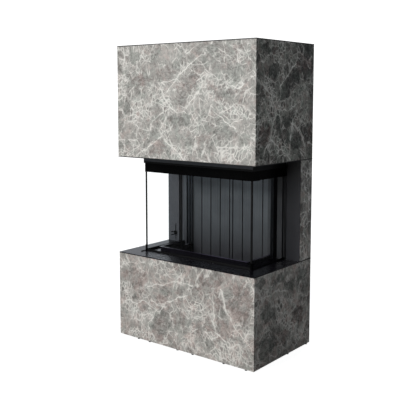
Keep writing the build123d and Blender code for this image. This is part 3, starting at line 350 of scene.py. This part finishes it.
def own_marks(t, marks, face, fade, mottle, other):
    """The clasts, zones and veins that belong to one slab alone, each 1 where it is at its fullest."""
    bent = warped(t, warped(t, t.place, 11.0, 0.050), 38.0, 0.024)
    level, through, stand = face
    behind = t.maths("SUBTRACT", t.vector("DOT_PRODUCT", t.place, through), stand)
    depth = t.product(behind, behind)
    fading = t.product(depth, oval_fade)
    ragged = t.total(t.ramp(fade, 0.3, 0.7, -0.25, 0.25), t.ramp(mottle, 0.3, 0.7, -0.10, 0.10))

    def region(kind, middle, rim, strength=1.0):
        """The ovals of that kind, with torn rims."""
        reach = t.total(spots(t, bent, fading, face, marks[kind]), ragged)
        return t.ramp(reach, middle, rim, strength, 0.0)

    beside = placed_veins(t, bent, depth, face, marks["veins"])
    core = vein(t, beside, t.ramp(other, 0.3, 0.7, 0.002, 0.011))
    glow = t.ramp(beside, 0.0, 0.035, 0.5, 0.0)
    return {
        "rose": region("rose", 0.78, 1.10),
        "green": region("green", 0.78, 1.10),
        "crushed": region("crushed", 0.60, 1.25),
        "pale": region("pale", 0.45, 1.30, 0.60),
        "core": t.product(core, t.ramp(fade, 0.34, 0.52, 0.45, 1.0)),
        "glow": t.product(glow, t.ramp(mottle, 0.35, 0.6, 0.3, 1.0)),
    }


# The stone's colours, before its contrast is raised
body_grey = (0.375, 0.368, 0.343)
body_light = (0.510, 0.502, 0.470)
body_pale = (0.570, 0.567, 0.533)
mottle_light = (0.64, 0.63, 0.595)
mottle_dark = (0.15, 0.142, 0.131)
chip_light = (0.66, 0.655, 0.615)
chip_dark = (0.235, 0.227, 0.211)
speck_dark = (0.58, 0.575, 0.57)
speck_light = (0.80, 0.795, 0.76)
rose_tint = (1.11, 0.985, 0.975)
green_tint = (0.94, 1.0, 0.985)

# The dark of its clasts and the white of its veins, where a slab has none of its own
plain_dark = (0.130, 0.125, 0.118)
plain_bright = (0.92, 0.91, 0.86)


def make_stone(name, marks=None, face=None, dark=plain_dark, bright=plain_bright, contrast=1.25, cast=None):
    """Grey brecciated stone: rose-grey and green-grey clasts in a web of pale veins, honed."""
    t = Tree(name)
    wide = warped(t, t.place, 2.6, 0.16, detail=1.0)
    fine = warped(t, wide, 10.0, 0.045, detail=3.0)
    torn = warped(t, fine, 34.0, 0.015, detail=3.0)
    mottle = t.noise(torn, 44.0, roughness=0.75)
    patch = t.noise(fine, 9.0, detail=4.0, roughness=0.65)
    haze = t.noise(wide, 3.3, roughness=0.6)
    fade = t.noise(fine, 14.0, roughness=0.6)
    other = t.noise(wide, 19.0, roughness=0.6)
    crush = t.ramp(t.total(haze, t.product(patch, 0.45)), 0.72, 0.86, 0.0, 0.85)
    if marks:
        own = own_marks(t, marks, face, fade, mottle, other)
        inside = t.largest(own["rose"], own["green"])
        crush = t.product(t.largest(crush, own["crushed"]), t.ramp(inside, 0.0, 1.0, 1.0, 0.2))

    # Clasts in three sizes
    large_edge, large = shards(t, fine, 7.0, (0.3, 0.5, 0.0), (1.0, 1.0, 1.45))
    middle_edge, middle = shards(t, fine, 16.0, (0.0, -0.6, 0.3), (1.0, 1.0, 1.7))
    small_edge, small = shards(t, torn, 40.0, (0.2, 0.4, 0.0), (1.0, 1.0, 1.3))

    # Body colours, darker in the hearts of the clasts
    heart = t.ramp(t.total(large_edge, t.product(patch, 0.40)), 0.20, 0.40)
    heart = t.product(heart, t.ramp(large.outputs["Red"], 0.30, 0.75, 0.0, 0.45 if marks else 0.85))
    middle_heart = t.ramp(middle.outputs["Green"], 0.35, 0.85, 0.0, 0.70)
    heart = t.largest(heart, t.product(t.ramp(middle_edge, 0.00, 0.20), middle_heart))
    if marks:
        heart = t.largest(heart, t.product(inside, t.ramp(patch, 0.3, 0.6, 0.90, 0.55)))
    body = t.mix(t.ramp(patch, 0.30, 0.70), body_grey, body_light)
    body = t.mix(t.product(heart, 0.88), body, dark)
    if marks:
        body = t.mix(own["pale"], body, body_pale)
    body = t.mix(t.ramp(mottle, 0.42, 0.70, 0.0, 0.46), body, mottle_light)
    body = t.mix(t.ramp(mottle, 0.30, 0.50, 0.60, 0.0), body, mottle_dark)
    grain = t.product(t.ramp(small_edge, 0.02, 0.28), t.ramp(small.outputs["Blue"], 0.1, 0.8, 0.15, 1.0))
    body = t.mix(t.product(crush, 0.66), body, t.mix(grain, chip_light, chip_dark))
    if marks:
        body = t.mix(own["glow"], body, chip_light)

    # Fine specks, a few millimetres across
    speck = t.noise(torn, 105.0, detail=1.0, roughness=0.6)
    body = t.mix(t.ramp(speck, 0.52, 0.36, 0.0, 0.30), body, speck_dark, "MULTIPLY")
    body = t.mix(t.ramp(speck, 0.54, 0.68, 0.0, 0.20), body, speck_light)

    # Tints of rose and green, rosier towards the floor
    tint = t.noise(torn, 17.0, roughness=0.7)
    if marks:
        tint = t.total(tint, t.product(t.maths("SUBTRACT", own["rose"], own["green"]), 0.10))
    tint = t.total(tint, t.ramp(t.axis("Z"), 0.56, 1.23, 0.05, -0.02))
    body = t.mix(t.ramp(tint, 0.50, 0.72), body, rose_tint, "MULTIPLY")
    body = t.mix(t.ramp(tint, 0.50, 0.32), body, green_tint, "MULTIPLY")

    # Veins, fading in and out along their way
    quiet = t.ramp(inside, 0.0, 1.0, 0.80, 0.20) if marks else 0.85
    large_vein = vein(t, large_edge, t.ramp(fade, 0.35, 0.7, 0.012, 0.060))
    middle_vein = vein(t, middle_edge, t.ramp(other, 0.35, 0.7, 0.025, 0.080))
    small_vein = vein(t, small_edge, t.ramp(mottle, 0.3, 0.7, 0.04, 0.13))
    dense = t.largest(t.product(crush, 0.95), t.ramp(fade, 0.47, 0.66, 0.0, 0.55))
    veins = t.largest(
        t.product(large_vein, t.ramp(other, 0.42, 0.58), quiet),
        t.product(middle_vein, t.ramp(fade, 0.40, 0.56), quiet),
        t.product(small_vein, dense),
    )
    if marks:
        veins = t.largest(veins, own["core"])
    colour = t.mix(veins, body, bright)
    if cast:
        colour = t.mix(1.0, colour, cast, "MULTIPLY")
    colour = t.add("Gamma", Color=colour, Gamma=contrast).outputs[0]
    grit = t.noise(t.place, 800.0, detail=2.0)
    rough = t.ramp(t.total(t.product(veins, -0.25), mottle), 0.1, 0.75, 0.42, 0.58)
    return t.finish(t.principled(colour, rough, t.bump(grit, 0.10, 0.0005)))


def make_paint(name, dark, light, rough, shine=0.5, shade=None):
    """Heat-proof paint on steel: a fine orange-peel bump, dust and rubbing, and the painted light and shade
    that its shade gives.
    """
    t = Tree(name)
    cloud = t.noise(t.place, 5.0, detail=4.0)
    dust = t.noise(t.place, 60.0, detail=5.0, roughness=0.7)
    peel = t.noise(t.place, 420.0, detail=2.0)
    colour = t.mix(t.ramp(t.product(cloud, dust), 0.12, 0.42), dark, light)
    if shade:
        colour = t.scaled(colour, shade(t))
    roughness = t.ramp(t.total(cloud, t.product(dust, 0.5)), 0.45, 1.05, *rough)
    return t.finish(t.principled(colour, roughness, t.bump(peel, 0.10, 0.0005), Specular_IOR_Level=shine))


# Painted light and shade on parts of a piece: these multiply the colour of the paint
flange_painted_light = 2.15
flange_painted_shade = 0.31
fold_and_side_painted_shade = 0.03

# And these, painted shade, light and highlights, are what a part adds to a factor of 1
fin_painted_shade = -0.92
fin_painted_highlight = 3.0
lip_painted_highlight = 11.0
flank_painted_light = 5.0

# Where a finish changes on its piece, each the range in metres in which it does. Across, to the right
middle_width = (-0.2, 0.2)
lip_highlight_length = (-0.12, 0.10)
flank_sides = ((-0.3412, -0.3408), (-0.3402, -0.3398))
right_edge = (0.3404, 0.3412)

# Across, from the middle to either side
flute_sides = ((0.3414, 0.3424), (0.3590, 0.3606))
fin_side = (0.370, 0.374)
enamel_ends = (0.4240, 0.4250)

# To the back
fascia_front = (-0.1925, -0.1915)
enamel_front = (-0.1790, -0.1780)
flute_face = (0.1322, 0.1330)
flank_length = ((0.1322, 0.1326), (0.1990, 0.1999))
fin_edge = (0.1602, 0.1608)
groove_face = (0.2004, 0.2014)

# Up from the floor
bottom_dark_height = (0.47, 0.80)
lower_height = (0.50, 0.90)
enamel_height = (0.5835, 0.5845)
rim_lip = (0.5972, 0.6004)
painted_light_height = (0.90, 1.09)
hood_shadow = (1.04, 1.18)
lining_top = (1.115, 1.130)
fascia_fold = (1.1835, 1.1855)


def shell_painted_light_and_shade(t):
    """Painted light on the flanges, bright at the left and dim at the right. Painted shade on the fins beside
    them, black behind their edge, and a painted highlight on that edge.
    """
    inner = t.ramp(t.maths("ABSOLUTE", t.axis("X")), *fin_side, 1.0, 0.0)
    fin = t.product(inner, t.ramp(t.axis("Y"), *fin_edge))
    edge = t.product(inner, t.ramp(t.axis("Y"), *fin_edge, 1.0, 0.0))
    side = t.ramp(t.axis("X"), *middle_width, flange_painted_light, flange_painted_shade)
    plain = t.maths("MULTIPLY_ADD", fin, fin_painted_shade, 1.0)
    return t.product(side, t.maths("MULTIPLY_ADD", edge, fin_painted_highlight, plain))


def overhang_painted_shadow(t):
    """Painted shadow under the hood, darker up towards it."""
    return t.ramp(t.axis("Z"), *hood_shadow, 0.85, 0.05)


def fascia_painted_shade(t):
    """Light along the front; painted shade, nearly black, on its lower fold and on the sides."""
    front = t.product(t.ramp(t.axis("Y"), *fascia_front, 1.0, 0.0), t.ramp(t.axis("Z"), *fascia_fold))
    return t.largest(front, fold_and_side_painted_shade)


def rim_painted_highlight(t):
    """A painted highlight on the folded lip of the hearth's rim, strongest on the right."""
    lip_highlight = t.product(t.ramp(t.axis("Z"), *rim_lip), t.ramp(t.axis("X"), *lip_highlight_length, 0.25, 1.0))
    return t.maths("MULTIPLY_ADD", lip_highlight, lip_painted_highlight, 1.0)


def make_steel(name, colour, tint, rough):
    """Zinc-plated steel with a faint rolled grain."""
    t = Tree(name)
    stretched = t.vector("MULTIPLY", t.place, (420.0, 420.0, 30.0))
    grain = t.noise(stretched, 1.0)
    cloud = t.noise(t.place, 14.0, detail=4.0)
    mixed = t.mix(t.ramp(t.total(t.product(grain, 0.4), cloud), 0.45, 0.95), colour, tint)
    roughness = t.ramp(cloud, 0.3, 0.7, *rough)
    return t.finish(t.principled(mixed, roughness, t.bump(grain, 0.12, 0.0003), metallic=1.0))


def make_galvanised(name):
    """Galvanised sheet with its flakes of zinc crystal."""
    t = Tree(name)
    flakes = t.cells(warped(t, t.place, 30.0, 0.01), 55.0)
    tone = t.add("SeparateColor", Color=flakes.outputs["Color"])
    cloud = t.noise(t.place, 6.0, detail=4.0)
    colour = t.mix(t.ramp(tone.outputs["Red"], 0.0, 1.0), (0.42, 0.43, 0.44), (0.60, 0.61, 0.62))
    rough = t.total(t.ramp(tone.outputs["Green"], 0.0, 1.0, 0.34, 0.5), t.product(cloud, 0.12))
    normal = t.bump(flakes.outputs["Distance"], 0.05, 0.0004)
    return t.finish(t.principled(colour, rough, normal, metallic=1.0))


def make_iron(name):
    """Cast iron with its pebbled sand skin."""
    t = Tree(name)
    sand = t.noise(t.place, 520.0, detail=4.0, roughness=0.7)
    cloud = t.noise(t.place, 22.0, detail=4.0)
    colour = t.mix(t.ramp(cloud, 0.35, 0.65), (0.030, 0.030, 0.031), (0.060, 0.056, 0.052))
    rough = t.ramp(sand, 0.3, 0.7, 0.55, 0.8)
    return t.finish(t.principled(colour, rough, t.bump(sand, 0.45, 0.0008), metallic=0.6))


def lining_painted_shade(t):
    """Where the lining gets painted shade, near black: in its grooves, in its flutes, and on the front edge
    at the right.
    """
    groove = t.ramp(t.axis("Y"), *groove_face)
    flute = t.product(t.window(t.maths("ABSOLUTE", t.axis("X")), *flute_sides),
                      t.ramp(t.axis("Y"), *flute_face))
    edge = t.product(t.ramp(t.axis("X"), *right_edge), 0.55)
    return t.product(t.largest(groove, flute, edge), t.ramp(t.axis("Z"), *lining_top, 0.93, 0.0))


def make_lining(name):
    """Dark fire board: slate grey, pressed from coarse grains, dimmer towards the bottom, brighter towards
    the top by painted light, with painted shade, near black, in its grooves and flutes and on its right front
    edge.
    The inner flank of the left side board, which the lamps don't reach, is paler by painted light."""
    t = Tree(name)
    grit = t.noise(t.place, 360.0, detail=4.0, roughness=0.7)
    cloud = t.noise(t.place, 7.0, detail=5.0)
    # Darker towards the bottom, unevenly in clouds
    bottom_dark = t.product(t.ramp(t.axis("Z"), *bottom_dark_height, 1.0, 0.0), t.ramp(cloud, 0.3, 0.7, 0.6, 1.0))
    clean = t.mix(t.ramp(cloud, 0.35, 0.65), (0.060, 0.068, 0.076), (0.084, 0.094, 0.103))
    speckled = t.mix(t.ramp(grit, 0.55, 0.75, 0.0, 0.5), clean, (0.12, 0.125, 0.135))
    colour = t.mix(t.product(bottom_dark, 0.8), speckled, (0.025, 0.022, 0.031))
    streak = t.noise(t.vector("MULTIPLY", t.place, (170.0, 170.0, 1.6)), 1.0, detail=2.0)
    colour = t.scaled(colour, t.ramp(streak, 0.35, 0.65, 0.91, 1.09))
    # Dimmer towards the bottom, and brighter towards the top by painted light, up to 2.25 times
    below = t.ramp(t.axis("Z"), *lower_height, 0.50, 1.0, smooth=False)
    painted_top_light = t.ramp(t.axis("Z"), *painted_light_height, 1.0, 2.25, smooth=False)
    colour = t.scaled(colour, t.product(below, painted_top_light, 1.10))
    colour = t.mix(lining_painted_shade(t), colour, (0.0012, 0.0012, 0.0016))
    # Painted light on the inner flank of the left side board: six times as bright
    flank = t.product(t.window(t.axis("X"), *flank_sides), t.window(t.axis("Y"), *flank_length))
    colour = t.scaled(colour, t.maths("MULTIPLY_ADD", flank, flank_painted_light, 1.0))
    rough = t.ramp(cloud, 0.3, 0.7, 0.72, 0.88)
    return t.finish(t.principled(colour, rough, t.bump(grit, 0.25, 0.0008)))


def make_soapstone(name):
    """Sawn soapstone of the heat store: green-grey with soft darker streaks."""
    t = Tree(name)
    place = warped(t, t.vector("MULTIPLY", t.place, (1.0, 1.0, 2.6)), 6.0, 0.12)
    streak = t.noise(place, 9.0, detail=6.0, roughness=0.65)
    fleck = t.noise(t.place, 300.0)
    colour = t.mix(t.ramp(streak, 0.35, 0.65), (0.17, 0.185, 0.178), (0.33, 0.345, 0.335))
    colour = t.mix(t.ramp(fleck, 0.6, 0.8, 0.0, 0.4), colour, (0.45, 0.46, 0.45))
    rough = t.ramp(streak, 0.3, 0.7, 0.55, 0.7)
    return t.finish(t.principled(colour, rough, t.bump(fleck, 0.2, 0.0005)))


def make_glass(name):
    """Clear glass-ceramic with a breath of dust: the view goes straight through, gloss grows with the angle.
    Black enamel is printed along the bottom and on the ends of the front pane."""
    t = Tree(name)
    smear = t.noise(t.place, 9.0, detail=4.0)
    dust = t.noise(t.place, 45.0, detail=5.0, roughness=0.7)
    tint = t.mix(t.ramp(smear, 0.3, 0.7), (0.990, 0.994, 0.994), (0.980, 0.988, 0.990))
    clear = t.add("BsdfTransparent", Color=tint)
    film = t.principled((0.55, 0.56, 0.57), 0.6)
    pane = t.blend(t.ramp(dust, 0.5, 0.9, 0.0005, 0.004), clear, film)

    across = t.maths("ABSOLUTE", t.axis("X"))
    ends = t.product(t.ramp(across, *enamel_ends), t.ramp(t.axis("Y"), *enamel_front, 1.0, 0.0))
    printed = t.largest(ends, t.ramp(t.axis("Z"), *enamel_height, 1.0, 0.0))
    grain = t.noise(t.place, 500.0, detail=2.0)
    ink = t.mix(grain, (0.0015, 0.0015, 0.0017), (0.0045, 0.0045, 0.0050))
    enamel = t.principled(ink, t.ramp(grain, 0.3, 0.7, 0.40, 0.55), Specular_IOR_Level=0.2)
    pane = t.blend(printed, pane, enamel)

    gloss = t.add("BsdfGlossy", Color=opaque((1.0, 1.0, 1.0)), Roughness=t.ramp(smear, 0.45, 0.8, 0.01, 0.05))
    facing = t.add("LayerWeight", Blend=0.5).outputs["Facing"]
    mirror = t.maths("MULTIPLY_ADD", t.maths("POWER", facing, 5.0), 0.96, 0.006)
    return t.finish(t.blend(mirror, pane, gloss))


def make_rope(name):
    """Black glass-fibre rope with its braid."""
    t = Tree(name)
    bands = {"wave_type": "BANDS", "bands_direction": "DIAGONAL"}
    braid = t.add("TexWave", bands, Vector=t.place, Scale=90.0, Distortion=1.5, Detail=2.0).outputs["Fac"]
    fuzz = t.noise(t.place, 700.0)
    colour = t.mix(braid, (0.018, 0.018, 0.019), (0.075, 0.075, 0.078))
    rough = t.ramp(fuzz, 0.3, 0.7, 0.8, 0.95)
    return t.finish(t.principled(colour, rough, t.bump(braid, 0.6, 0.001)))


def make_plastic(name, dark, light, shine=0.5):
    """Black moulded plastic or bead with a fine eroded skin."""
    t = Tree(name)
    skin = t.noise(t.place, 800.0)
    cloud = t.noise(t.place, 30.0)
    colour = t.mix(t.ramp(cloud, 0.35, 0.65), dark, light)
    rough = t.ramp(skin, 0.3, 0.7, 0.42, 0.6)
    return t.finish(t.principled(colour, rough, t.bump(skin, 0.15, 0.0003), Specular_IOR_Level=shine))


# One finish for each of the record's material slots that a piece still takes
finishes = {
    "cladding_stone": make_stone("cladding_stone"),
    "black_steel": make_paint("black_steel", (0.0075, 0.0078, 0.0085), (0.017, 0.0175, 0.019), (0.30, 0.46)),
    "plain_steel": make_steel("plain_steel", (0.40, 0.41, 0.42), (0.56, 0.56, 0.55), (0.30, 0.46)),
    "back_steel": make_galvanised("back_steel"),
    "cast_iron": make_iron("cast_iron"),
    "fire_lining": make_lining("fire_lining"),
    "soapstone": make_soapstone("soapstone"),
    "door_glass": make_glass("door_glass"),
    "rope_seal": make_rope("rope_seal"),
    "glide_plastic": make_plastic("glide_plastic", (0.012, 0.012, 0.012), (0.024, 0.024, 0.024)),
}

# Finishes of single pieces, which the photograph shows in tones of their own. Several carry painted light and
# shade:
# lit or shaded copies of one paint or stone, or light, shade and highlights painted on parts of the piece
front_stone = {
    "face": front_face,
    "dark": (0.175, 0.168, 0.156),
    "bright": (0.920, 0.922, 0.875),
    "contrast": 1.0,
}
# Darker clasts and a harder contrast for the stones of the right side, hood, plinth and column: painted shade
# for the side that the lamps leave dim
shaded_side_stone = {"dark": (0.060, 0.058, 0.056), "bright": (0.985, 0.980, 0.950)}
# A near-black copy of the black paint: painted shade for the door rail under the hood. The glass clips and
# the air lever take it too
painted_shade_rail_paint = make_paint("painted_shade_rail_paint", (0.0008, 0.0008, 0.0009), (0.0020, 0.0020, 0.0021), (0.24, 0.33), 0.05)
special = {
    "hood_front_stone": make_stone("hood_front_stone", hood_marks, cast=(1.026, 1.0, 0.987), **front_stone),
    "plinth_front_stone": make_stone(
        "plinth_front_stone", plinth_marks, cast=(0.959, 0.932, 0.917), **front_stone),
    "hood_right_stone": make_stone(
        "hood_right_stone", hood_side_marks, right_face, contrast=1.75, **shaded_side_stone),
    "plinth_right_stone": make_stone(
        "plinth_right_stone", plinth_side_marks, right_face, dark=(0.090, 0.086, 0.083),
        bright=(0.800, 0.795, 0.770), contrast=1.45),
    "column_right_stone": make_stone("column_right_stone", contrast=1.35, **shaded_side_stone),
    # One paint on both cheeks, in two copies: a paler one on the left, painted light, and a darker one on the
    # right, painted shade, with the painted shadow of the hood towards its top
    "left_cheek_panel": make_paint(
        "cheek_paint", (0.063, 0.067, 0.077), (0.086, 0.092, 0.103), (0.36, 0.50)),
    "right_cheek_panel": make_paint(
        "painted_shade_cheek_paint", (0.012, 0.012, 0.016), (0.020, 0.020, 0.026), (0.40, 0.52), shade=overhang_painted_shadow),
    "firebox_shell": make_paint(
        "shell_paint", (0.044, 0.047, 0.054), (0.060, 0.064, 0.072), (0.36, 0.50), shade=shell_painted_light_and_shade),
    "hearth_tray": make_paint(
        "tray_paint", (0.0043, 0.0037, 0.0058), (0.0086, 0.0074, 0.0112), (0.10, 0.18), shade=rim_painted_highlight),
    "base_plate": make_paint(
        "plate_paint", (0.0034, 0.0028, 0.0050), (0.0066, 0.0055, 0.0092), (0.22, 0.31), 0.27),
    "lintel_fascia": make_paint(
        "fascia_paint", (0.058, 0.062, 0.069), (0.080, 0.085, 0.094), (0.27, 0.38), 0.2, fascia_painted_shade),
    "glass_corner_strips": make_plastic(
        "strip_bead", (0.0020, 0.0020, 0.0022), (0.0045, 0.0045, 0.0048), 0.12),
    "door_top_rail": painted_shade_rail_paint,
    "glass_corner_clips": painted_shade_rail_paint,
    "air_lever": painted_shade_rail_paint,
}


def dress():
    """Give every CAD piece a finish of its own, or the one that the record names for it."""
    for part in frame["record"]["subparts"]:
        piece = nodes[part["node"]]
        piece.data.materials.clear()
        piece.data.materials.append(special.get(part["node"]) or finishes[part["material_slot"]])
        for face in piece.data.polygons:
            face.material_index = 0


# The camera, fitted to the corners of the three stone boxes in the photograph. Its shift is only what the
# framing needs, because the other views keep it
camera_place = (2.778, -3.619, 1.626)
camera_turn = math.radians(38.62)
camera_pitch = math.radians(5.95)
camera_lens = 62.97
camera_sensor = 36.0
camera_shift = -0.08


def make_camera():
    """The photograph's view."""
    data = bpy.data.cameras.new("camera")
    data.sensor_width = camera_sensor
    data.lens = camera_lens
    data.shift_y = camera_shift
    camera = bpy.data.objects.new("camera", data)
    camera.location = camera_place
    camera.rotation_euler = Euler((math.pi / 2 - camera_pitch, 0.0, camera_turn), "XYZ")
    bpy.context.scene.collection.objects.link(camera)
    bpy.context.scene.camera = camera


# Soft square lamps: name, place, side in metres, power in watts, and whether gloss shows them
lamps = (
    ("key", (-3.6, -13.2, 6.6), 4.2, 1170.0, True),
    ("fill", (-0.4, -8.0, 1.3), 2.4, 106.0, True),
    ("back", (-1.6, 5.5, 3.4), 3.0, 260.0, False),
    ("side", (7.5, 1.0, 1.6), 3.0, 26.0, False),
)
lamp_target = Vector((0.0, 0.0, 1.0))


def make_lamps():
    """All the lamps, turned to the middle of the stove and hidden from the camera."""
    for name, place, side, power, mirrored in lamps:
        data = bpy.data.lights.new(name, "AREA")
        data.size = side
        data.energy = power
        lamp = bpy.data.objects.new(name, data)
        lamp.location = place
        lamp.rotation_euler = (lamp_target - lamp.location).to_track_quat("-Z", "Y").to_euler()
        lamp.visible_camera = False
        lamp.visible_glossy = mirrored
        bpy.context.scene.collection.objects.link(lamp)


# The room round the stove: the strength of the white that the camera sees, and of the light on the stove
seen_light = 1.2
room_light = 0.15
wall_light = 0.75
room_colour = (0.89, 0.93, 1.0)
wall_direction = (-0.62, 0.78, 0.0)
wall_edge = (0.55, 0.95)


def make_world():
    """White behind the stove for the camera. For the stove, a dim room with a bright wall on its left."""
    world = bpy.data.worlds.new("studio")
    bpy.context.scene.world = world
    world.use_nodes = True
    tree = world.node_tree
    tree.nodes.clear()
    seen = tree.nodes.new("ShaderNodeBackground")
    seen.inputs["Color"].default_value = opaque((1.0, 1.0, 1.0))
    seen.inputs["Strength"].default_value = seen_light
    light = tree.nodes.new("ShaderNodeBackground")
    light.inputs["Color"].default_value = opaque(room_colour)
    direction = tree.nodes.new("ShaderNodeTexCoord")
    facing = tree.nodes.new("ShaderNodeVectorMath")
    facing.operation = "DOT_PRODUCT"
    facing.inputs[1].default_value = wall_direction
    wall = tree.nodes.new("ShaderNodeMapRange")
    wall.interpolation_type = "SMOOTHSTEP"
    limits = {"From Min": wall_edge[0], "From Max": wall_edge[1], "To Min": room_light, "To Max": wall_light}
    for name, value in limits.items():
        wall.inputs[name].default_value = value
    path = tree.nodes.new("ShaderNodeLightPath")
    both = tree.nodes.new("ShaderNodeMixShader")
    output = tree.nodes.new("ShaderNodeOutputWorld")
    tree.links.new(direction.outputs["Generated"], facing.inputs[0])
    tree.links.new(facing.outputs["Value"], wall.inputs["Value"])
    tree.links.new(wall.outputs["Result"], light.inputs["Strength"])
    tree.links.new(path.outputs["Is Camera Ray"], both.inputs[0])
    tree.links.new(light.outputs[0], both.inputs[1])
    tree.links.new(seen.outputs[0], both.inputs[2])
    tree.links.new(both.outputs[0], output.inputs["Surface"])


# The floor: how far it reaches, where it fades out round the stove, and how bright the camera sees it
floor_radius = 9.0
floor_corners = 96
floor_fade = (1.4, 4.0)
floor_glow = 0.965


def floor_paint():
    """Nearly white for the camera, and dull for the light that it throws back up."""
    t = Tree("floor")
    cloud = t.noise(t.place, 0.8)
    colour = t.mix(cloud, (0.17, 0.17, 0.17), (0.19, 0.19, 0.19))
    lit = t.principled(colour, 1.0, Emission_Color=opaque((1.0, 1.0, 1.0)), Emission_Strength=floor_glow,
                       Specular_IOR_Level=0.0)
    dull = t.principled((0.22, 0.22, 0.22), 1.0, Specular_IOR_Level=0.0)
    away = t.ramp(t.vector("LENGTH", t.place), *floor_fade)
    seen = t.blend(away, lit, t.add("BsdfTransparent"))
    return t.finish(t.blend(t.add("LightPath").outputs["Is Camera Ray"], dull, seen))


def make_floor():
    """A round pale floor that fades into the white behind it."""
    turns = [2 * math.pi * corner / floor_corners for corner in range(floor_corners)]
    rim = [(floor_radius * math.cos(turn), floor_radius * math.sin(turn), 0.0) for turn in turns]
    mesh = bpy.data.meshes.new("floor")
    mesh.from_pydata(rim, [], [tuple(range(floor_corners))])
    mesh.materials.append(floor_paint())
    floor = bpy.data.objects.new("floor", mesh)
    bpy.context.scene.collection.objects.link(floor)


dress()
make_camera()
make_world()
make_floor()
make_lamps()
bpy.context.scene.view_settings.view_transform = "Standard"
